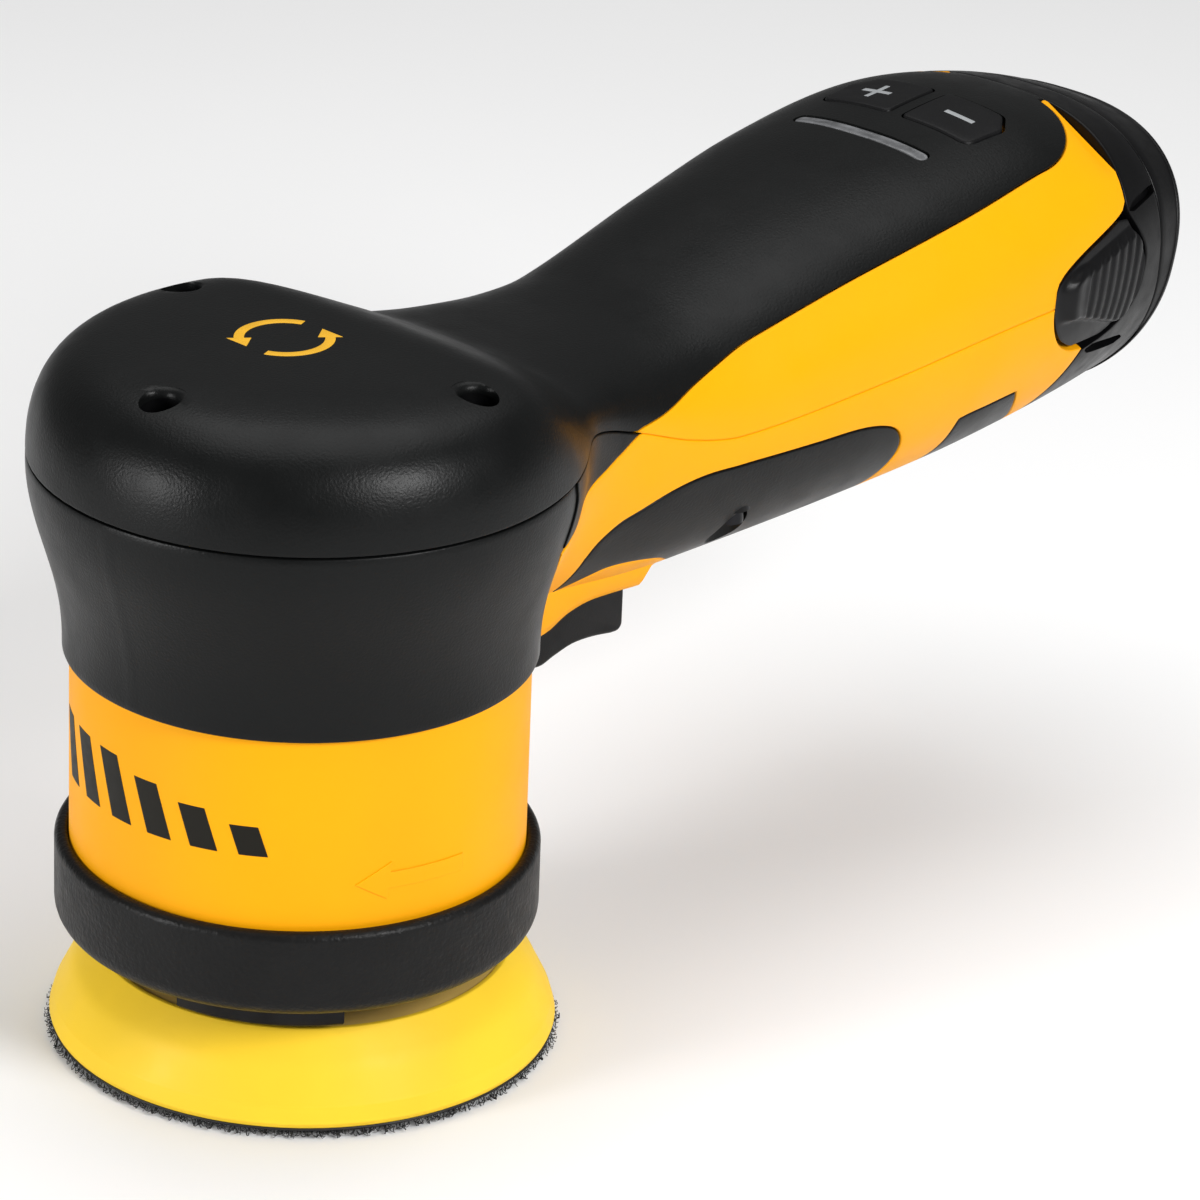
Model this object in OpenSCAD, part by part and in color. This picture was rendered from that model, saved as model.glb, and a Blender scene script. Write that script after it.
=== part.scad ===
// Cordless random-orbital polisher with an angled head and a slide-in battery.
// +X runs along the handle, +Z up the motor axis, and Z = 0 is the face of the hook facing.

/* [Pad] */
// Radius of the backing pad at its lower edge
pad_r = 38.5; // [36:0.5:40]
// Radius of the backing pad at its upper rim
pad_top_r = 31.5; // [29:0.5:33]
// Thickness of the foam and its rigid core
pad_h = 13; // [11:0.5:13.5]
// Thickness of the hook facing
facing_h = 1.6; // [1:0.1:2]
// Orbit radius, from the motor axis to the pad axis
orbit = 6; // [4:0.5:6]
// Direction of the pad axis seen from the motor axis
orbit_angle = 32; // [0:1:60]

/* [Head] */
// Outer radius of the bumper ring
ring_r = 36.3; // [35.5:0.1:37]
// Height of the lower edge of the bumper ring
ring_z = 21.4; // [20:0.2:22]
// Outer radius of the motor sleeve
sleeve_r = 34.1; // [33.6:0.1:34.2]
// Outer radius of the skirt at its lower edge
skirt_r = 35.15; // [34.6:0.05:35.4]
// Height of the lower edge of the skirt
skirt_z = 65.2; // [64:0.2:66]
// Radius of the dome at the parting line
dome_r = 40.45; // [39.5:0.05:41]
// Height of the parting line under the dome
dome_z = 96.1; // [95:0.1:97]
// Rise of the dome above the parting line
dome_h = 16.75; // [15:0.25:18]

/* [Handle] */
// Wall of the two handle shells
wall = 3; // [2.6:0.1:3.2]
// Thickness of the soft overmoulding
grip_t = 1.2; // [1:0.1:1.3]
// Fullness of the upper half section, 2 is an ellipse
upper_full = 2.5; // [2.2:0.1:3]
// Fullness of the lower half section, 2 is an ellipse
lower_full = 2.0; // [1.9:0.1:2.4]
// Place along the handle where the upper shell ends
shell_end = 157.6; // [156:0.4:158]
// Place along the handle of the battery's end plate
battery_end = 177; // [175:0.5:178]

/* [Controls] */
// Width of the trigger
trigger_w = 19; // [16:0.5:20]
// Length of one speed button along the handle
button_l = 13; // [11:0.5:13]
// Half length of the light bar across the handle
light_half = 13.5; // [11:0.5:14]

/* [Hidden] */
facing_proud = 0.8;
$fn = 64;
eps = 0.02;

// Handle stations: place, top, belly, half width and seam height
STATIONS = [
    [24, 106, 62, 28.5, 97],
    [34, 104.6, 60.4, 26, 96.6],
    [45, 103.5, 59.4, 25, 93.2],
    [58, 102.8, 58.6, 25.4, 88.4],
    [70, 103.6, 58.4, 26, 86],
    [100, 110, 58.4, 29.4, 87.4],
    [126, 114.2, 59, 32.3, 89.8],
    [145, 116, 60, 32.6, 90],
    [162, 113.2, 61, 30.8, 88.2],
    [178, 108, 62.2, 28, 86]
];
// Lower edge of the upper overmoulding: place and angle above the seam
GRIP_EDGE = [[40, -5], [44, -1], [50, 9], [59, 26], [68, 36], [76, 40], [120, 41], [141, 46]];
// Upper edge of the lower overmoulding: place and angle below the seam
BELLY_EDGE = [[68, 11], [84, 11.5], [97, 14], [104, 20], [108, 34]];
// Upper edge of the rear overmoulding: place and angle below the seam
REAR_EDGE = [[120, 28], [136, 27]];

lean_z = 87.6;
lean_max = 0.3;
lower_end = 153;
lower_sweep = 6;
latch_front = 138;
latch_rear = 165;
notch_up = 26;
notch_down = 19;
notch_slope = 0.846;
latch_gap = 0.5;
press_above = 1.7;
press_below = 1.1;
dome_a = 7.22;
dome_b = 2.185;
pad_x = orbit * cos(orbit_angle);
pad_y = orbit * sin(orbit_angle);
pad_z1 = facing_h + pad_h;
axis_z = 87.6;
seat_z = dome_z - 0.15;
sunk_t = grip_t + 0.2;
grip_rear = 156.2;
cap_x = battery_end - 5.4;

// Motor
stator_r = 31;
bore_r = 19.6;
core_z = 44;
core_h = 22;
slots = 9;
shaft_r = 4;
bearing_r = 11;
bearing_h = 7;
low_bearing_z = 35;
top_bearing_z = 79;
head_r = 13.4;
spindle_r = 3;

// Battery
cell_r = 9.2;
cell_l = 65;
cell_x = 96;
cell_z = 86.3;
stem_r = 10.6;
stem_x = 90;
stem_l = 77.5;

// Controls
button_s = 139;
top_z = 114;
board_z = 104.6;
stretch = 1.17;
button_y = 1.2;
button_w = 14.5;
button_travel = 0.8;
light_s = 126.6;
pivot_x = 41;
pivot_z = 61;
trigger_x1 = 62.5;
trigger_z = 50.6;
screw_x = 74.5;
screw_y = 19.5;
dome_screw_r = 30;
well_z = 104.5;
boss_z = 92;
DOME_SCREWS = [82, 180, 278];

// ---- curves ----
function ease(t) = let (u = min(1, max(0, t))) u * u * (3 - 2 * u);
function power(v, p) = v <= 0 ? 0 : pow(v, p);
function slope(t, k, i) = let (a = max(0, i - 1), b = min(len(t) - 1, i + 1))
    (t[b][k] - t[a][k]) / (t[b][0] - t[a][0]);
// Smooth curve through the rows of a table, column k against column 0
function track(t, k, x, i = 0) =
    x <= t[0][0] ? t[0][k] :
    i >= len(t) - 1 ? t[len(t) - 1][k] :
    x > t[i + 1][0] ? track(t, k, x, i + 1) :
    let (w = t[i + 1][0] - t[i][0], u = (x - t[i][0]) / w)
    (2 * u * u * u - 3 * u * u + 1) * t[i][k] + (u * u * u - 2 * u * u + u) * w * slope(t, k, i)
    + (3 * u * u - 2 * u * u * u) * t[i + 1][k] + (u * u * u - u * u) * w * slope(t, k, i + 1);

// ---- head and handle surfaces, d is the depth below the outer skin ----
function skirt_radius(z) = let (t = ease((z - skirt_z) / (dome_z - 1.6 - skirt_z)))
    skirt_r + (dome_r - skirt_r) * power(t, 1.35);
function lean(s) = lean_max * min(1, max(0, (s - 120) / 50));
function smooth_max(a, b, k) = (a + b + sqrt((a - b) * (a - b) + k * k)) / 2;
function half_width(s, d) = let (
        arc = sqrt(max(0, (dome_r - d) * (dome_r - d) - s * s)),
        bar = track(STATIONS, 3, s) - d,
        k = 4 * ease((s - 4) / 16) * ease((64 - s) / 16))
    s < 4 ? arc : s > 64 ? bar : smooth_max(arc, bar, k);
function seam(s) = let (q = ease((s - 10) / 24)) (1 - q) * dome_z + q * track(STATIONS, 4, s);
// Upper half: angle 0 is the -Y seam, 90 the ridge and 180 the +Y seam
function upper(s, angle, d) = let (
        c = cos(angle),
        t = power(abs(c), 2 / upper_full),
        w = half_width(s, d),
        r = dome_r - d,
        rr = min(1, sqrt(s * s + t * t * max(0, r * r - s * s)) / r),
        dome = dome_z + (dome_h - d) * power(1 - pow(rr, dome_a), 1 / dome_b),
        zs = track(STATIONS, 4, s),
        bar = zs + (track(STATIONS, 1, s) - d - zs) * power(abs(sin(angle)), 2 / upper_full),
        q = ease((s - 10) / 24),
        z = s <= 10 ? dome : (1 - q) * dome + q * bar)
    [s + lean(s) * (z - lean_z), -sign(c) * t * w, z];
// Lower half: angle 0 is the -Y seam, 90 the belly and 180 the +Y seam
function lower(s, angle, d) = let (
        c = cos(angle),
        zs = seam(s),
        z = zs - (zs - track(STATIONS, 2, s) - d) * power(abs(sin(angle)), 2 / lower_full))
    [s + lean(s) * (z - lean_z), -sign(c) * power(abs(c), 2 / lower_full) * half_width(s, d), z];
function from_seam(angle) = min(angle, 180 - angle);
function notch(angle) = ease((notch_up - from_seam(angle)) / (notch_up * notch_slope));
function notch_below(angle) = sqrt(max(0, 1 - pow(from_seam(angle) / notch_down, 2)));
function mix(a, b, t) = a + (b - a) * t;
function end_up(angle) = mix(shell_end, latch_front, notch(angle));
function end_down(angle) = mix(lower_end - lower_sweep * sin(angle), latch_front, notch_below(angle));
// Place where the lower half meets the skirt
function meet(angle, d, s = 30, n = 6) = n == 0 ? s : let (
        p = lower(s, angle, d),
        r = skirt_radius(max(skirt_z, p[2])) + 0.6)
    meet(angle, d, sqrt(max(1, r * r - p[1] * p[1])), n - 1);
function grip_edge(s) = s < 141 ? track(GRIP_EDGE, 1, s) :
    min(77, 46 + 44 * (1 - sqrt(max(0, 1 - pow((s - 141) / 15.8, 2)))));
// Angle above the seam at which the upper half is y away from the middle
function angle_at(s, y) = acos(pow(min(1, abs(y) / half_width(s, 0)), upper_full / 2));

// ---- closed solids between an outer and an inner grid of points ----
function corner(i, j, m, tip) = tip && i == 0 ? 0 : i * m + j;
function two(a, b, c, d) = [[a, b, c], [a, c, d]];
function flip_all(faces, flip) = flip ? [for (f = faces) [f[2], f[1], f[0]]] : faces;
module skin(outer, inner, tip = false, flip = false) {
    n = len(outer);
    m = len(outer[0]);
    k = n * m;
    function o(i, j) = corner(i, j, m, tip);
    function q(i, j) = k + corner(i, j, m, tip);
    points = concat([for (row = outer) each row], [for (row = inner) each row]);
    raw = [
        for (i = [0 : n - 2], j = [0 : m - 2]) each two(o(i, j), o(i, j + 1), o(i + 1, j + 1), o(i + 1, j)),
        for (i = [0 : n - 2], j = [0 : m - 2]) each two(q(i + 1, j), q(i + 1, j + 1), q(i, j + 1), q(i, j)),
        for (i = [0 : n - 2]) each two(o(i, 0), o(i + 1, 0), q(i + 1, 0), q(i, 0)),
        for (i = [0 : n - 2]) each two(o(i + 1, m - 1), o(i, m - 1), q(i, m - 1), q(i + 1, m - 1)),
        for (j = [0 : m - 2]) each two(o(0, j + 1), o(0, j), q(0, j), q(0, j + 1)),
        for (j = [0 : m - 2]) each two(o(n - 1, j), o(n - 1, j + 1), q(n - 1, j + 1), q(n - 1, j))
    ];
    faces = [for (f = raw) if (f[0] != f[1] && f[1] != f[2] && f[0] != f[2]) f];
    polyhedron(points, flip_all(faces, flip), convexity = 8);
}
// Closed tube: rings of points, with each end fanned to its own centre
module tube(rings, front, rear) {
    n = len(rings);
    m = len(rings[0]);
    points = concat([for (row = rings) each row], [front, rear]);
    polyhedron(points, [
        for (i = [0 : n - 2], j = [0 : m - 1]) each
            two(i * m + j, i * m + (j + 1) % m, (i + 1) * m + (j + 1) % m, (i + 1) * m + j),
        for (j = [0 : m - 1]) [n * m, (j + 1) % m, j],
        for (j = [0 : m - 1]) [n * m + 1, (n - 1) * m + j, (n - 1) * m + (j + 1) % m]
    ], convexity = 8);
}
// Angles across a shell, with two lines kept at the edge of the overmoulding and others round the notch
UP_STEPS = [0, 5, 9, 13, 17, 21, 26, 46];
DOWN_STEPS = [0, 5, 9, 13, 16, 18, 19, 27];
function shell_angles(e, steps = UP_STEPS) = let (
        a = max(0.9, e),
        last = len(steps) - 1,
        full = steps[last],
        side = concat([for (k = [0 : last - 1]) steps[k] * min(1, a / full)], [a, a + 2]),
        crown = [for (k = [1 : 9]) a + 2 + (176 - 2 * a) * k / 10])
    concat(side, crown, [for (k = [len(side) - 1 : -1 : 0]) 180 - side[k]]);
function spread(a, b, n) = [for (k = [0 : n]) a + (b - a) * k / n];
function sink(angle, e) = sunk_t * min(1, max(0, (from_seam(angle) - e) / 2));

FRONT = [for (k = [0 : 9]) 90 - 10 * k];
MIDDLE = [8, 16, 23, 29, 35, 41, 47, 53, 60, 68, 78, 90, 102, 114, 126, 134, 137];
REAR_PART = [0.35, 0.7, 1];

// ---- pad ----
module pad_place() {
    translate([pad_x, pad_y, 0]) children();
}
module hook_facing() {
    color("dimgray") pad_place() difference() {
        cylinder(h = facing_h, r = pad_r + facing_proud, $fn = 96);
        translate([0, 0, -1]) cylinder(h = facing_h + 2, r = 4, $fn = 32);
    }
}
module backing_pad() {
    color("gold") pad_place() rotate_extrude($fn = 96) polygon([
        [4, facing_h], [pad_r - 0.3, facing_h], [pad_r, facing_h + 0.8], [pad_r - 0.6, facing_h + 3],
        [pad_top_r + 3, pad_z1 - 5], [pad_top_r, pad_z1], [pad_top_r - 0.8, pad_z1],
        [pad_top_r - 0.8, pad_z1 - 1.8], [10, pad_z1 - 1.8], [10, pad_z1 - 7], [4, pad_z1 - 7]]);
}
module pad_hub() {
    color("khaki") pad_place() difference() {
        union() {
            translate([0, 0, pad_z1 - 1.8]) cylinder(h = 1.6, r = pad_top_r - 0.8, $fn = 96);
            translate([0, 0, pad_z1 - 7]) cylinder(h = 7, r = 10);
        }
        translate([0, 0, pad_z1 - 8]) cylinder(h = 9, r = spindle_r + eps);
    }
}
module pad_spindle() {
    color("silver") pad_place() {
        translate([0, 0, pad_z1 - 6]) cylinder(h = 6, r = spindle_r);
        translate([0, 0, pad_z1]) cylinder(h = 1.4, r = 7, $fn = 6);
        translate([0, 0, pad_z1 + 1.4]) cylinder(h = 17, r = spindle_r - 0.05);
    }
}

// ---- rotor ----
module eccentric_shaft() {
    color("lightgray") difference() {
        union() {
            translate([0, 0, 33.5]) cylinder(h = 54, r = shaft_r);
            pad_place() translate([0, 0, 17.4]) cylinder(h = 14.6, r = head_r);
            translate([0, 0, 31.8]) cylinder(h = 3, r = shaft_r + 2);
        }
        pad_place() translate([0, 0, 17]) cylinder(h = 13.4, r = 9.5);
        pad_place() translate([0, 0, 30]) cylinder(h = 3.4, r = 4.2);
    }
}
module counterweight() {
    color("dimgray") rotate([0, 0, orbit_angle + 180]) difference() {
        translate([0, 0, 16.4]) cylinder(h = 10, r = 28);
        translate([-100, -50, 15]) cube([102, 100, 20]);
        translate([-orbit, 0, 15]) cylinder(h = 20, r = head_r + eps);
    }
}
module ball_bearing(outer, inner, h) {
    mid = (outer + inner) / 2;
    ball = (outer - inner) * 0.26;
    difference() {
        cylinder(h = h, r = outer);
        translate([0, 0, -1]) cylinder(h = h + 2, r = mid + ball * 0.55);
    }
    difference() {
        cylinder(h = h, r = mid - ball * 0.55);
        translate([0, 0, -1]) cylinder(h = h + 2, r = inner);
    }
    translate([0, 0, h * 0.42]) difference() {
        cylinder(h = h * 0.16, r = mid + ball * 0.55);
        translate([0, 0, -1]) cylinder(h = h + 2, r = mid - ball * 0.55);
    }
}
module eccentric_bearings() {
    color("silver") pad_place() for (k = [0, 1])
        translate([0, 0, 17.6 + 6.4 * k]) ball_bearing(9.5, spindle_r, 6);
}
module rotor_core() {
    color("slategray") translate([0, 0, core_z]) difference() {
        cylinder(h = core_h, r = 16);
        translate([0, 0, -1]) cylinder(h = core_h + 2, r = shaft_r);
    }
}
module rotor_magnets() {
    poles = 6;
    color("darkgray") translate([0, 0, core_z + 0.5]) for (k = [0 : poles - 1])
        rotate([0, 0, k * 360 / poles]) rotate_extrude(angle = 360 / poles - 4)
            translate([16 + eps, 0]) square([2.8, core_h - 1]);
}
module lower_bearing() {
    color("silver") translate([0, 0, low_bearing_z]) ball_bearing(bearing_r, shaft_r + 0.03, bearing_h);
}
module upper_bearing() {
    color("silver") translate([0, 0, top_bearing_z]) ball_bearing(bearing_r, shaft_r + 0.03, bearing_h);
}

// ---- stator and head ----
module stator_core() {
    color("slategray") translate([0, 0, core_z]) linear_extrude(core_h) {
        difference() {
            circle(r = stator_r, $fn = 96);
            circle(r = stator_r - 3);
        }
        for (k = [0 : slots - 1]) rotate(k * 360 / slots) {
            translate([bore_r + 1.4, -2]) square([stator_r - bore_r - 3, 4]);
            intersection() {
                difference() {
                    circle(r = bore_r + 1.6);
                    circle(r = bore_r);
                }
                translate([0, -5]) square([stator_r, 10]);
            }
        }
    }
}
module stator_windings() {
    color("sienna") for (k = [0 : slots - 1]) rotate([0, 0, k * 360 / slots])
        translate([bore_r + 2.2, 0, core_z + core_h / 2]) difference() {
            translate([0, -4.2, -core_h / 2 - 2.4]) cube([5.6, 8.4, core_h + 4.8]);
            translate([-1, -2.1, -core_h / 2 - 0.1]) cube([8, 4.2, core_h + 0.2]);
        }
}
module lower_bearing_plate() {
    color("gainsboro") difference() {
        union() {
            translate([0, 0, 34.4]) cylinder(h = 2.6, r = 31.35);
            translate([0, 0, 34.4]) cylinder(h = 7.6, r = 14);
        }
        translate([0, 0, low_bearing_z]) cylinder(h = 12, r = bearing_r);
        translate([0, 0, 30]) cylinder(h = 12, r = 9);
        for (k = [0 : 5]) rotate([0, 0, 30 + 60 * k]) translate([22.5, 0, 30]) cylinder(h = 12, r = 4);
    }
}
module upper_bearing_bracket() {
    color("gainsboro") difference() {
        union() {
            translate([0, 0, 74]) cylinder(h = 3, r = 31.2);
            translate([0, 0, 74]) cylinder(h = 12, r = 14);
            for (a = DOME_SCREWS) rotate([0, 0, a]) translate([dome_screw_r, 0, 75.5]) cylinder(h = 16.3, r = 3.1);
        }
        for (a = DOME_SCREWS) rotate([0, 0, a]) translate([dome_screw_r, 0, 85]) cylinder(h = 8, r = 1.5);
        translate([0, 0, 70]) cylinder(h = 9, r = 9);
        translate([0, 0, top_bearing_z]) cylinder(h = 12, r = bearing_r);
        for (k = [0 : 5]) rotate([0, 0, 30 + 60 * k]) translate([20.5, 0, 70]) cylinder(h = 12, r = 4.5);
    }
}
module motor_sleeve() {
    color("orange") rotate_extrude($fn = 96) polygon([
        [31.4, 30], [sleeve_r - 0.1, 30], [sleeve_r - 0.1, 60], [sleeve_r, skirt_z - 0.2],
        [33.2, skirt_z - 0.2], [33.2, skirt_z + 6], [31.4, skirt_z + 6]]);
}
module bumper_ring() {
    color("darkslategray") rotate_extrude($fn = 96) polygon([
        [31.4, ring_z + 0.6], [32.2, ring_z], [ring_r - 1.8, ring_z], [ring_r - 0.5, ring_z + 0.7],
        [ring_r, ring_z + 2.2], [ring_r, ring_z + 12.8], [ring_r - 0.3, ring_z + 13.5],
        [ring_r - 1, ring_z + 13.8], [sleeve_r + 0.2, ring_z + 13.6], [sleeve_r + 0.02, ring_z + 13.2],
        [sleeve_r + 0.02, 29.9], [31.4, 29.9]]);
}
module head_skirt() {
    profile = [for (k = [0 : 10]) let (z = skirt_z + 1 + (seat_z - skirt_z - 1) * k / 10) [skirt_radius(z), z]];
    color("darkslategray") difference() {
        rotate_extrude($fn = 96) polygon(concat(
            [[33.3, skirt_z], [skirt_r - 0.6, skirt_z]], profile,
            [[dome_r - 2.6, seat_z], [33.3, 76]]));
        translate([20, -11, 70]) cube([30, 22, 20]);
    }
}

// ---- housing ----
module at_dome_screws(z) {
    for (a = DOME_SCREWS) rotate([0, 0, a]) translate([dome_screw_r, 0, z]) children();
}
module screw_wells() {
    at_dome_screws(well_z) cylinder(h = 30, r = 2.9, $fn = 32);
}
module button_window(grow) {
    l = button_l + 2 * grow;
    w = button_w + 2 * grow;
    for (side = [-1, 1]) translate([button_s + lean(button_s) * (top_z - lean_z), 0, top_z])
        rotate([0, atan(lean(button_s)), 0])
            translate([-l / 2, side * (button_y + button_w / 2) - w / 2, -12]) cube([l, w, 24]);
}
module light_window(grow) {
    translate([light_s - 1 - grow, -light_half - grow, 100])
        cube([2 + 2 * grow, 2 * (light_half + grow), 30]);
}
function upper_rows(d, sunk) = [
    for (f = FRONT) let (depth = d + (sunk ? sunk_t : 0), s = -(dome_r - depth) * sin(f))
        [for (a = shell_angles(grip_edge(s))) upper(s, a, depth)],
    for (s = MIDDLE)
        [for (a = shell_angles(grip_edge(s))) upper(s, a, d + (sunk ? sink(a, grip_edge(s)) : 0))],
    for (f = REAR_PART)
        [for (a = shell_angles(grip_edge(137 + (grip_rear - 137) * f)))
            let (s = 137 + (min(grip_rear, end_up(a) - 1) - 137) * f)
            upper(s, a, d + (sunk ? sink(a, grip_edge(s)) : 0))],
    [for (a = shell_angles(77)) upper(min(grip_rear + 0.6, end_up(a) - 0.6), a, d)],
    [for (a = shell_angles(77)) upper(end_up(a), a, d)]];
module upper_shell() {
    color("orange") difference() {
        union() {
            skin(upper_rows(0, true), upper_rows(wall, false), tip = true);
            at_dome_screws(boss_z) cylinder(h = 17, r = 4, $fn = 32);
        }
        screw_wells();
        at_dome_screws(boss_z - 1) cylinder(h = 20, r = 1.55, $fn = 32);
        button_window(0.6);
        light_window(0.4);
    }
}
function grip_rows(d) = [
    for (f = FRONT) let (s = -(dome_r - d) * sin(f)) [for (a = spread(0, 180, 22)) upper(s, a, d)],
    for (s = MIDDLE) let (e = max(0, grip_edge(s) + 2.2)) [for (a = spread(e, 180 - e, 22)) upper(s, a, d)],
    for (f = REAR_PART) let (s = 137 + (grip_rear - 137.2) * f, e = grip_edge(s) + 2.2)
        [for (a = spread(e, 180 - e, 22)) upper(s, a, d)]];
module upper_grip() {
    color("darkslategray") difference() {
        skin(grip_rows(0), grip_rows(grip_t), tip = true);
        screw_wells();
        button_window(0.3);
        light_window(0.3);
    }
}
BELLY = [68.6, 76, 84, 92, 100, 107.6];
REAR_BELLY = [120.4, 128, 135.6];
function belly_edge(s) = s < 115 ? track(BELLY_EDGE, 1, s) : track(REAR_EDGE, 1, s);
function lower_row(s, d, sunk) = let (e = belly_edge(s))
    [for (a = shell_angles(e, DOWN_STEPS)) lower(s, a, d + (sunk ? sink(a, e) : 0))];
function lower_rows(d, sunk) = [
    for (f = [0, 0.5]) [for (a = shell_angles(11, DOWN_STEPS)) let (m = meet(a, d)) lower(m + (48 - m) * f, a, d)],
    for (s = [48, 56, 62, 68.2]) lower_row(s, d, false),
    for (s = BELLY) lower_row(s, d, sunk),
    for (s = [108, 114, 120]) lower_row(s, d, false),
    for (s = REAR_BELLY) lower_row(s, d, sunk),
    lower_row(136, d, false),
    for (f = [0.5, 1]) [for (a = shell_angles(27, DOWN_STEPS)) lower(136 + (end_down(a) - 136) * f, a, d)]];
module drop(z) {
    translate([0, 0, -z]) children();
}
module lower_shell() {
    color("orange") difference() {
        drop(0.15) skin(lower_rows(0, true), lower_rows(wall, false), flip = true);
        translate([34, -trigger_w / 2 - 0.5, 40]) cube([31, trigger_w + 1, 30]);
        for (side = [-1, 1]) translate([screw_x, side * screw_y, 50]) {
            cylinder(h = 21.2, r = 2.5, $fn = 32);
            cylinder(h = 40, r = 1.25, $fn = 32);
        }
        translate([pivot_x, 12, pivot_z]) rotate([90, 0, 0]) cylinder(h = 24, r = 1.5, $fn = 32);
    }
}
function belly_rows(list, d) = [for (s = list) let (e = belly_edge(s) + 2.4)
    [for (a = spread(e, 180 - e, 18)) lower(s, a, d)]];
function inset_ends(list) = [for (k = [0 : len(list) - 1])
    list[k] + (k == 0 ? 0.2 : k == len(list) - 1 ? -0.2 : 0)];
module lower_grip() {
    color("darkslategray") difference() {
        drop(0.15) {
            skin(belly_rows(inset_ends(BELLY), 0), belly_rows(inset_ends(BELLY), grip_t), flip = true);
            skin(belly_rows(inset_ends(REAR_BELLY), 0), belly_rows(inset_ends(REAR_BELLY), grip_t), flip = true);
        }
        for (side = [-1, 1]) translate([screw_x, side * screw_y, 50]) cylinder(h = 30, r = 2.9, $fn = 32);
    }
}

// ---- fasteners ----
module socket_screw(head, h, shank, length) {
    difference() {
        cylinder(h = h, r = head, $fn = 32);
        translate([0, 0, h - 1.6]) cylinder(h = 2, r = head * 0.5, $fn = 6);
    }
    translate([0, 0, -length]) cylinder(h = length, r = shank, $fn = 24);
}
module dome_screws() {
    color("black") at_dome_screws(well_z) socket_screw(2.7, 2.6, 1.45, 18);
}
module handle_screws() {
    color("black") for (side = [-1, 1]) translate([screw_x, side * screw_y, 71]) mirror([0, 0, 1])
        socket_screw(2.3, 2.2, 1.2, 14);
}

// ---- electronics ----
module control_board() {
    color("green") translate([46, -13, 91.5]) cube([42, 26, 1.6]);
}
module board_components() {
    color("black") {
        for (k = [0 : 5]) translate([50 + 5.6 * k, -10, 93.1]) cube([4.4, 6, 1.2]);
        translate([56, 2, 93.1]) cube([8, 8, 1.4]);
        for (k = [0, 1]) translate([72 + 8 * k, 6, 87.9]) cylinder(h = 3.6, r = 3.4, $fn = 32);
    }
}
module phase_wires() {
    color("firebrick") for (k = [-1, 0, 1]) translate([21, 4.2 * k, 88.6]) rotate([0, 90, 0])
        cylinder(h = 26, r = 1.1, $fn = 24);
}
module battery_terminals() {
    color("goldenrod") {
        translate([stem_x - 6, -12, 83.2]) cube([2.6, 24, 7]);
        for (k = [-1, 0, 1]) translate([stem_x - 3.4, 7 * k - 0.5, 84.2]) cube([6, 1, 5]);
    }
}
module button_board() {
    color("green") translate([button_s + 1, 0, board_z]) rotate([0, -8, 0]) translate([-14, -15, 0])
        cube([24, 30, 1.4]);
}
module light_bar() {
    a0 = angle_at(light_s, light_half);
    crown = [for (a = spread(a0, 180 - a0, 12)) let (p = upper(light_s, a, 0)) [p[1], p[2] + 0.1]];
    color("lightgray") translate([light_s - 1, 0, 0]) rotate([90, 0, 90])
        linear_extrude(2) polygon(concat(crown, [[light_half, 107.6], [-light_half, 107.6]]));
}
function button_rows(side, d) = [for (ds = [-0.5, -0.3, 0, 0.3, 0.5]) let (s = button_s + ds * (button_l - 0.6) / stretch)
    [for (k = [0 : 5]) let (
            y = side * (button_y + 0.3) + (k / 5 - (side < 0 ? 1 : 0)) * (button_w - 0.6),
            a = angle_at(s, y),
            p = upper(s, y < 0 ? a : 180 - a, 0))
        [p[0] - lean(s) * d, y, p[2] - d]]];
module speed_button(side) {
    skin(button_rows(side, -0.25), button_rows(side, 4.4));
}
module plus_button() {
    color("dimgray") speed_button(1);
}
module minus_button() {
    color("dimgray") speed_button(-1);
}
module button_spring(side) {
    color("silver") translate([button_s + 2.4, side * (button_y + button_w / 2), board_z + 2]) difference() {
        cylinder(h = 2.1, r = 2.2, $fn = 32);
        translate([0, 0, -1]) cylinder(h = 5, r = 1.7, $fn = 32);
    }
}
module plus_spring() {
    button_spring(1);
}
module minus_spring() {
    button_spring(-1);
}

// ---- trigger ----
module trigger_lever() {
    outline = [[pivot_x - 4, pivot_z + 3], [pivot_x - 4, 55], [pivot_x + 0.7, trigger_z], [pivot_x + 2.6, trigger_z - 0.3],
        [pivot_x + 5.6, trigger_z + 0.6], [pivot_x + 9.5, trigger_z + 1.2], [pivot_x + 14, trigger_z + 1],
        [trigger_x1 - 1.6, trigger_z + 0.2], [trigger_x1, trigger_z + 1.6], [trigger_x1, 62], [pivot_x + 4, 62],
        [pivot_x + 3, pivot_z + 3]];
    color("darkslategray") difference() {
        rotate([90, 0, 0]) linear_extrude(trigger_w, center = true) polygon(outline);
        translate([pivot_x, 15, pivot_z]) rotate([90, 0, 0]) cylinder(h = 30, r = 1.55);
        translate([46, -trigger_w / 2 + 2, trigger_z + 3]) cube([13.5, trigger_w - 4, 12]);
    }
}
module trigger_pin() {
    color("silver") translate([pivot_x, 12, pivot_z]) rotate([90, 0, 0]) cylinder(h = 24, r = 1.5);
}
module trigger_spring() {
    turns = 5;
    pitch = 2.45;
    color("silver") translate([50, 0, trigger_z + 3.5]) for (k = [0 : turns - 1]) translate([0, 0, pitch * k])
        rotate_extrude() translate([2.6, 0]) circle(r = 0.45, $fn = 16);
}
module trigger_switch() {
    color("black") {
        translate([46, -6, 66]) cube([20, 12, 12]);
        translate([56, -2, 65]) cube([3, 4, 1]);
    }
}

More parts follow.
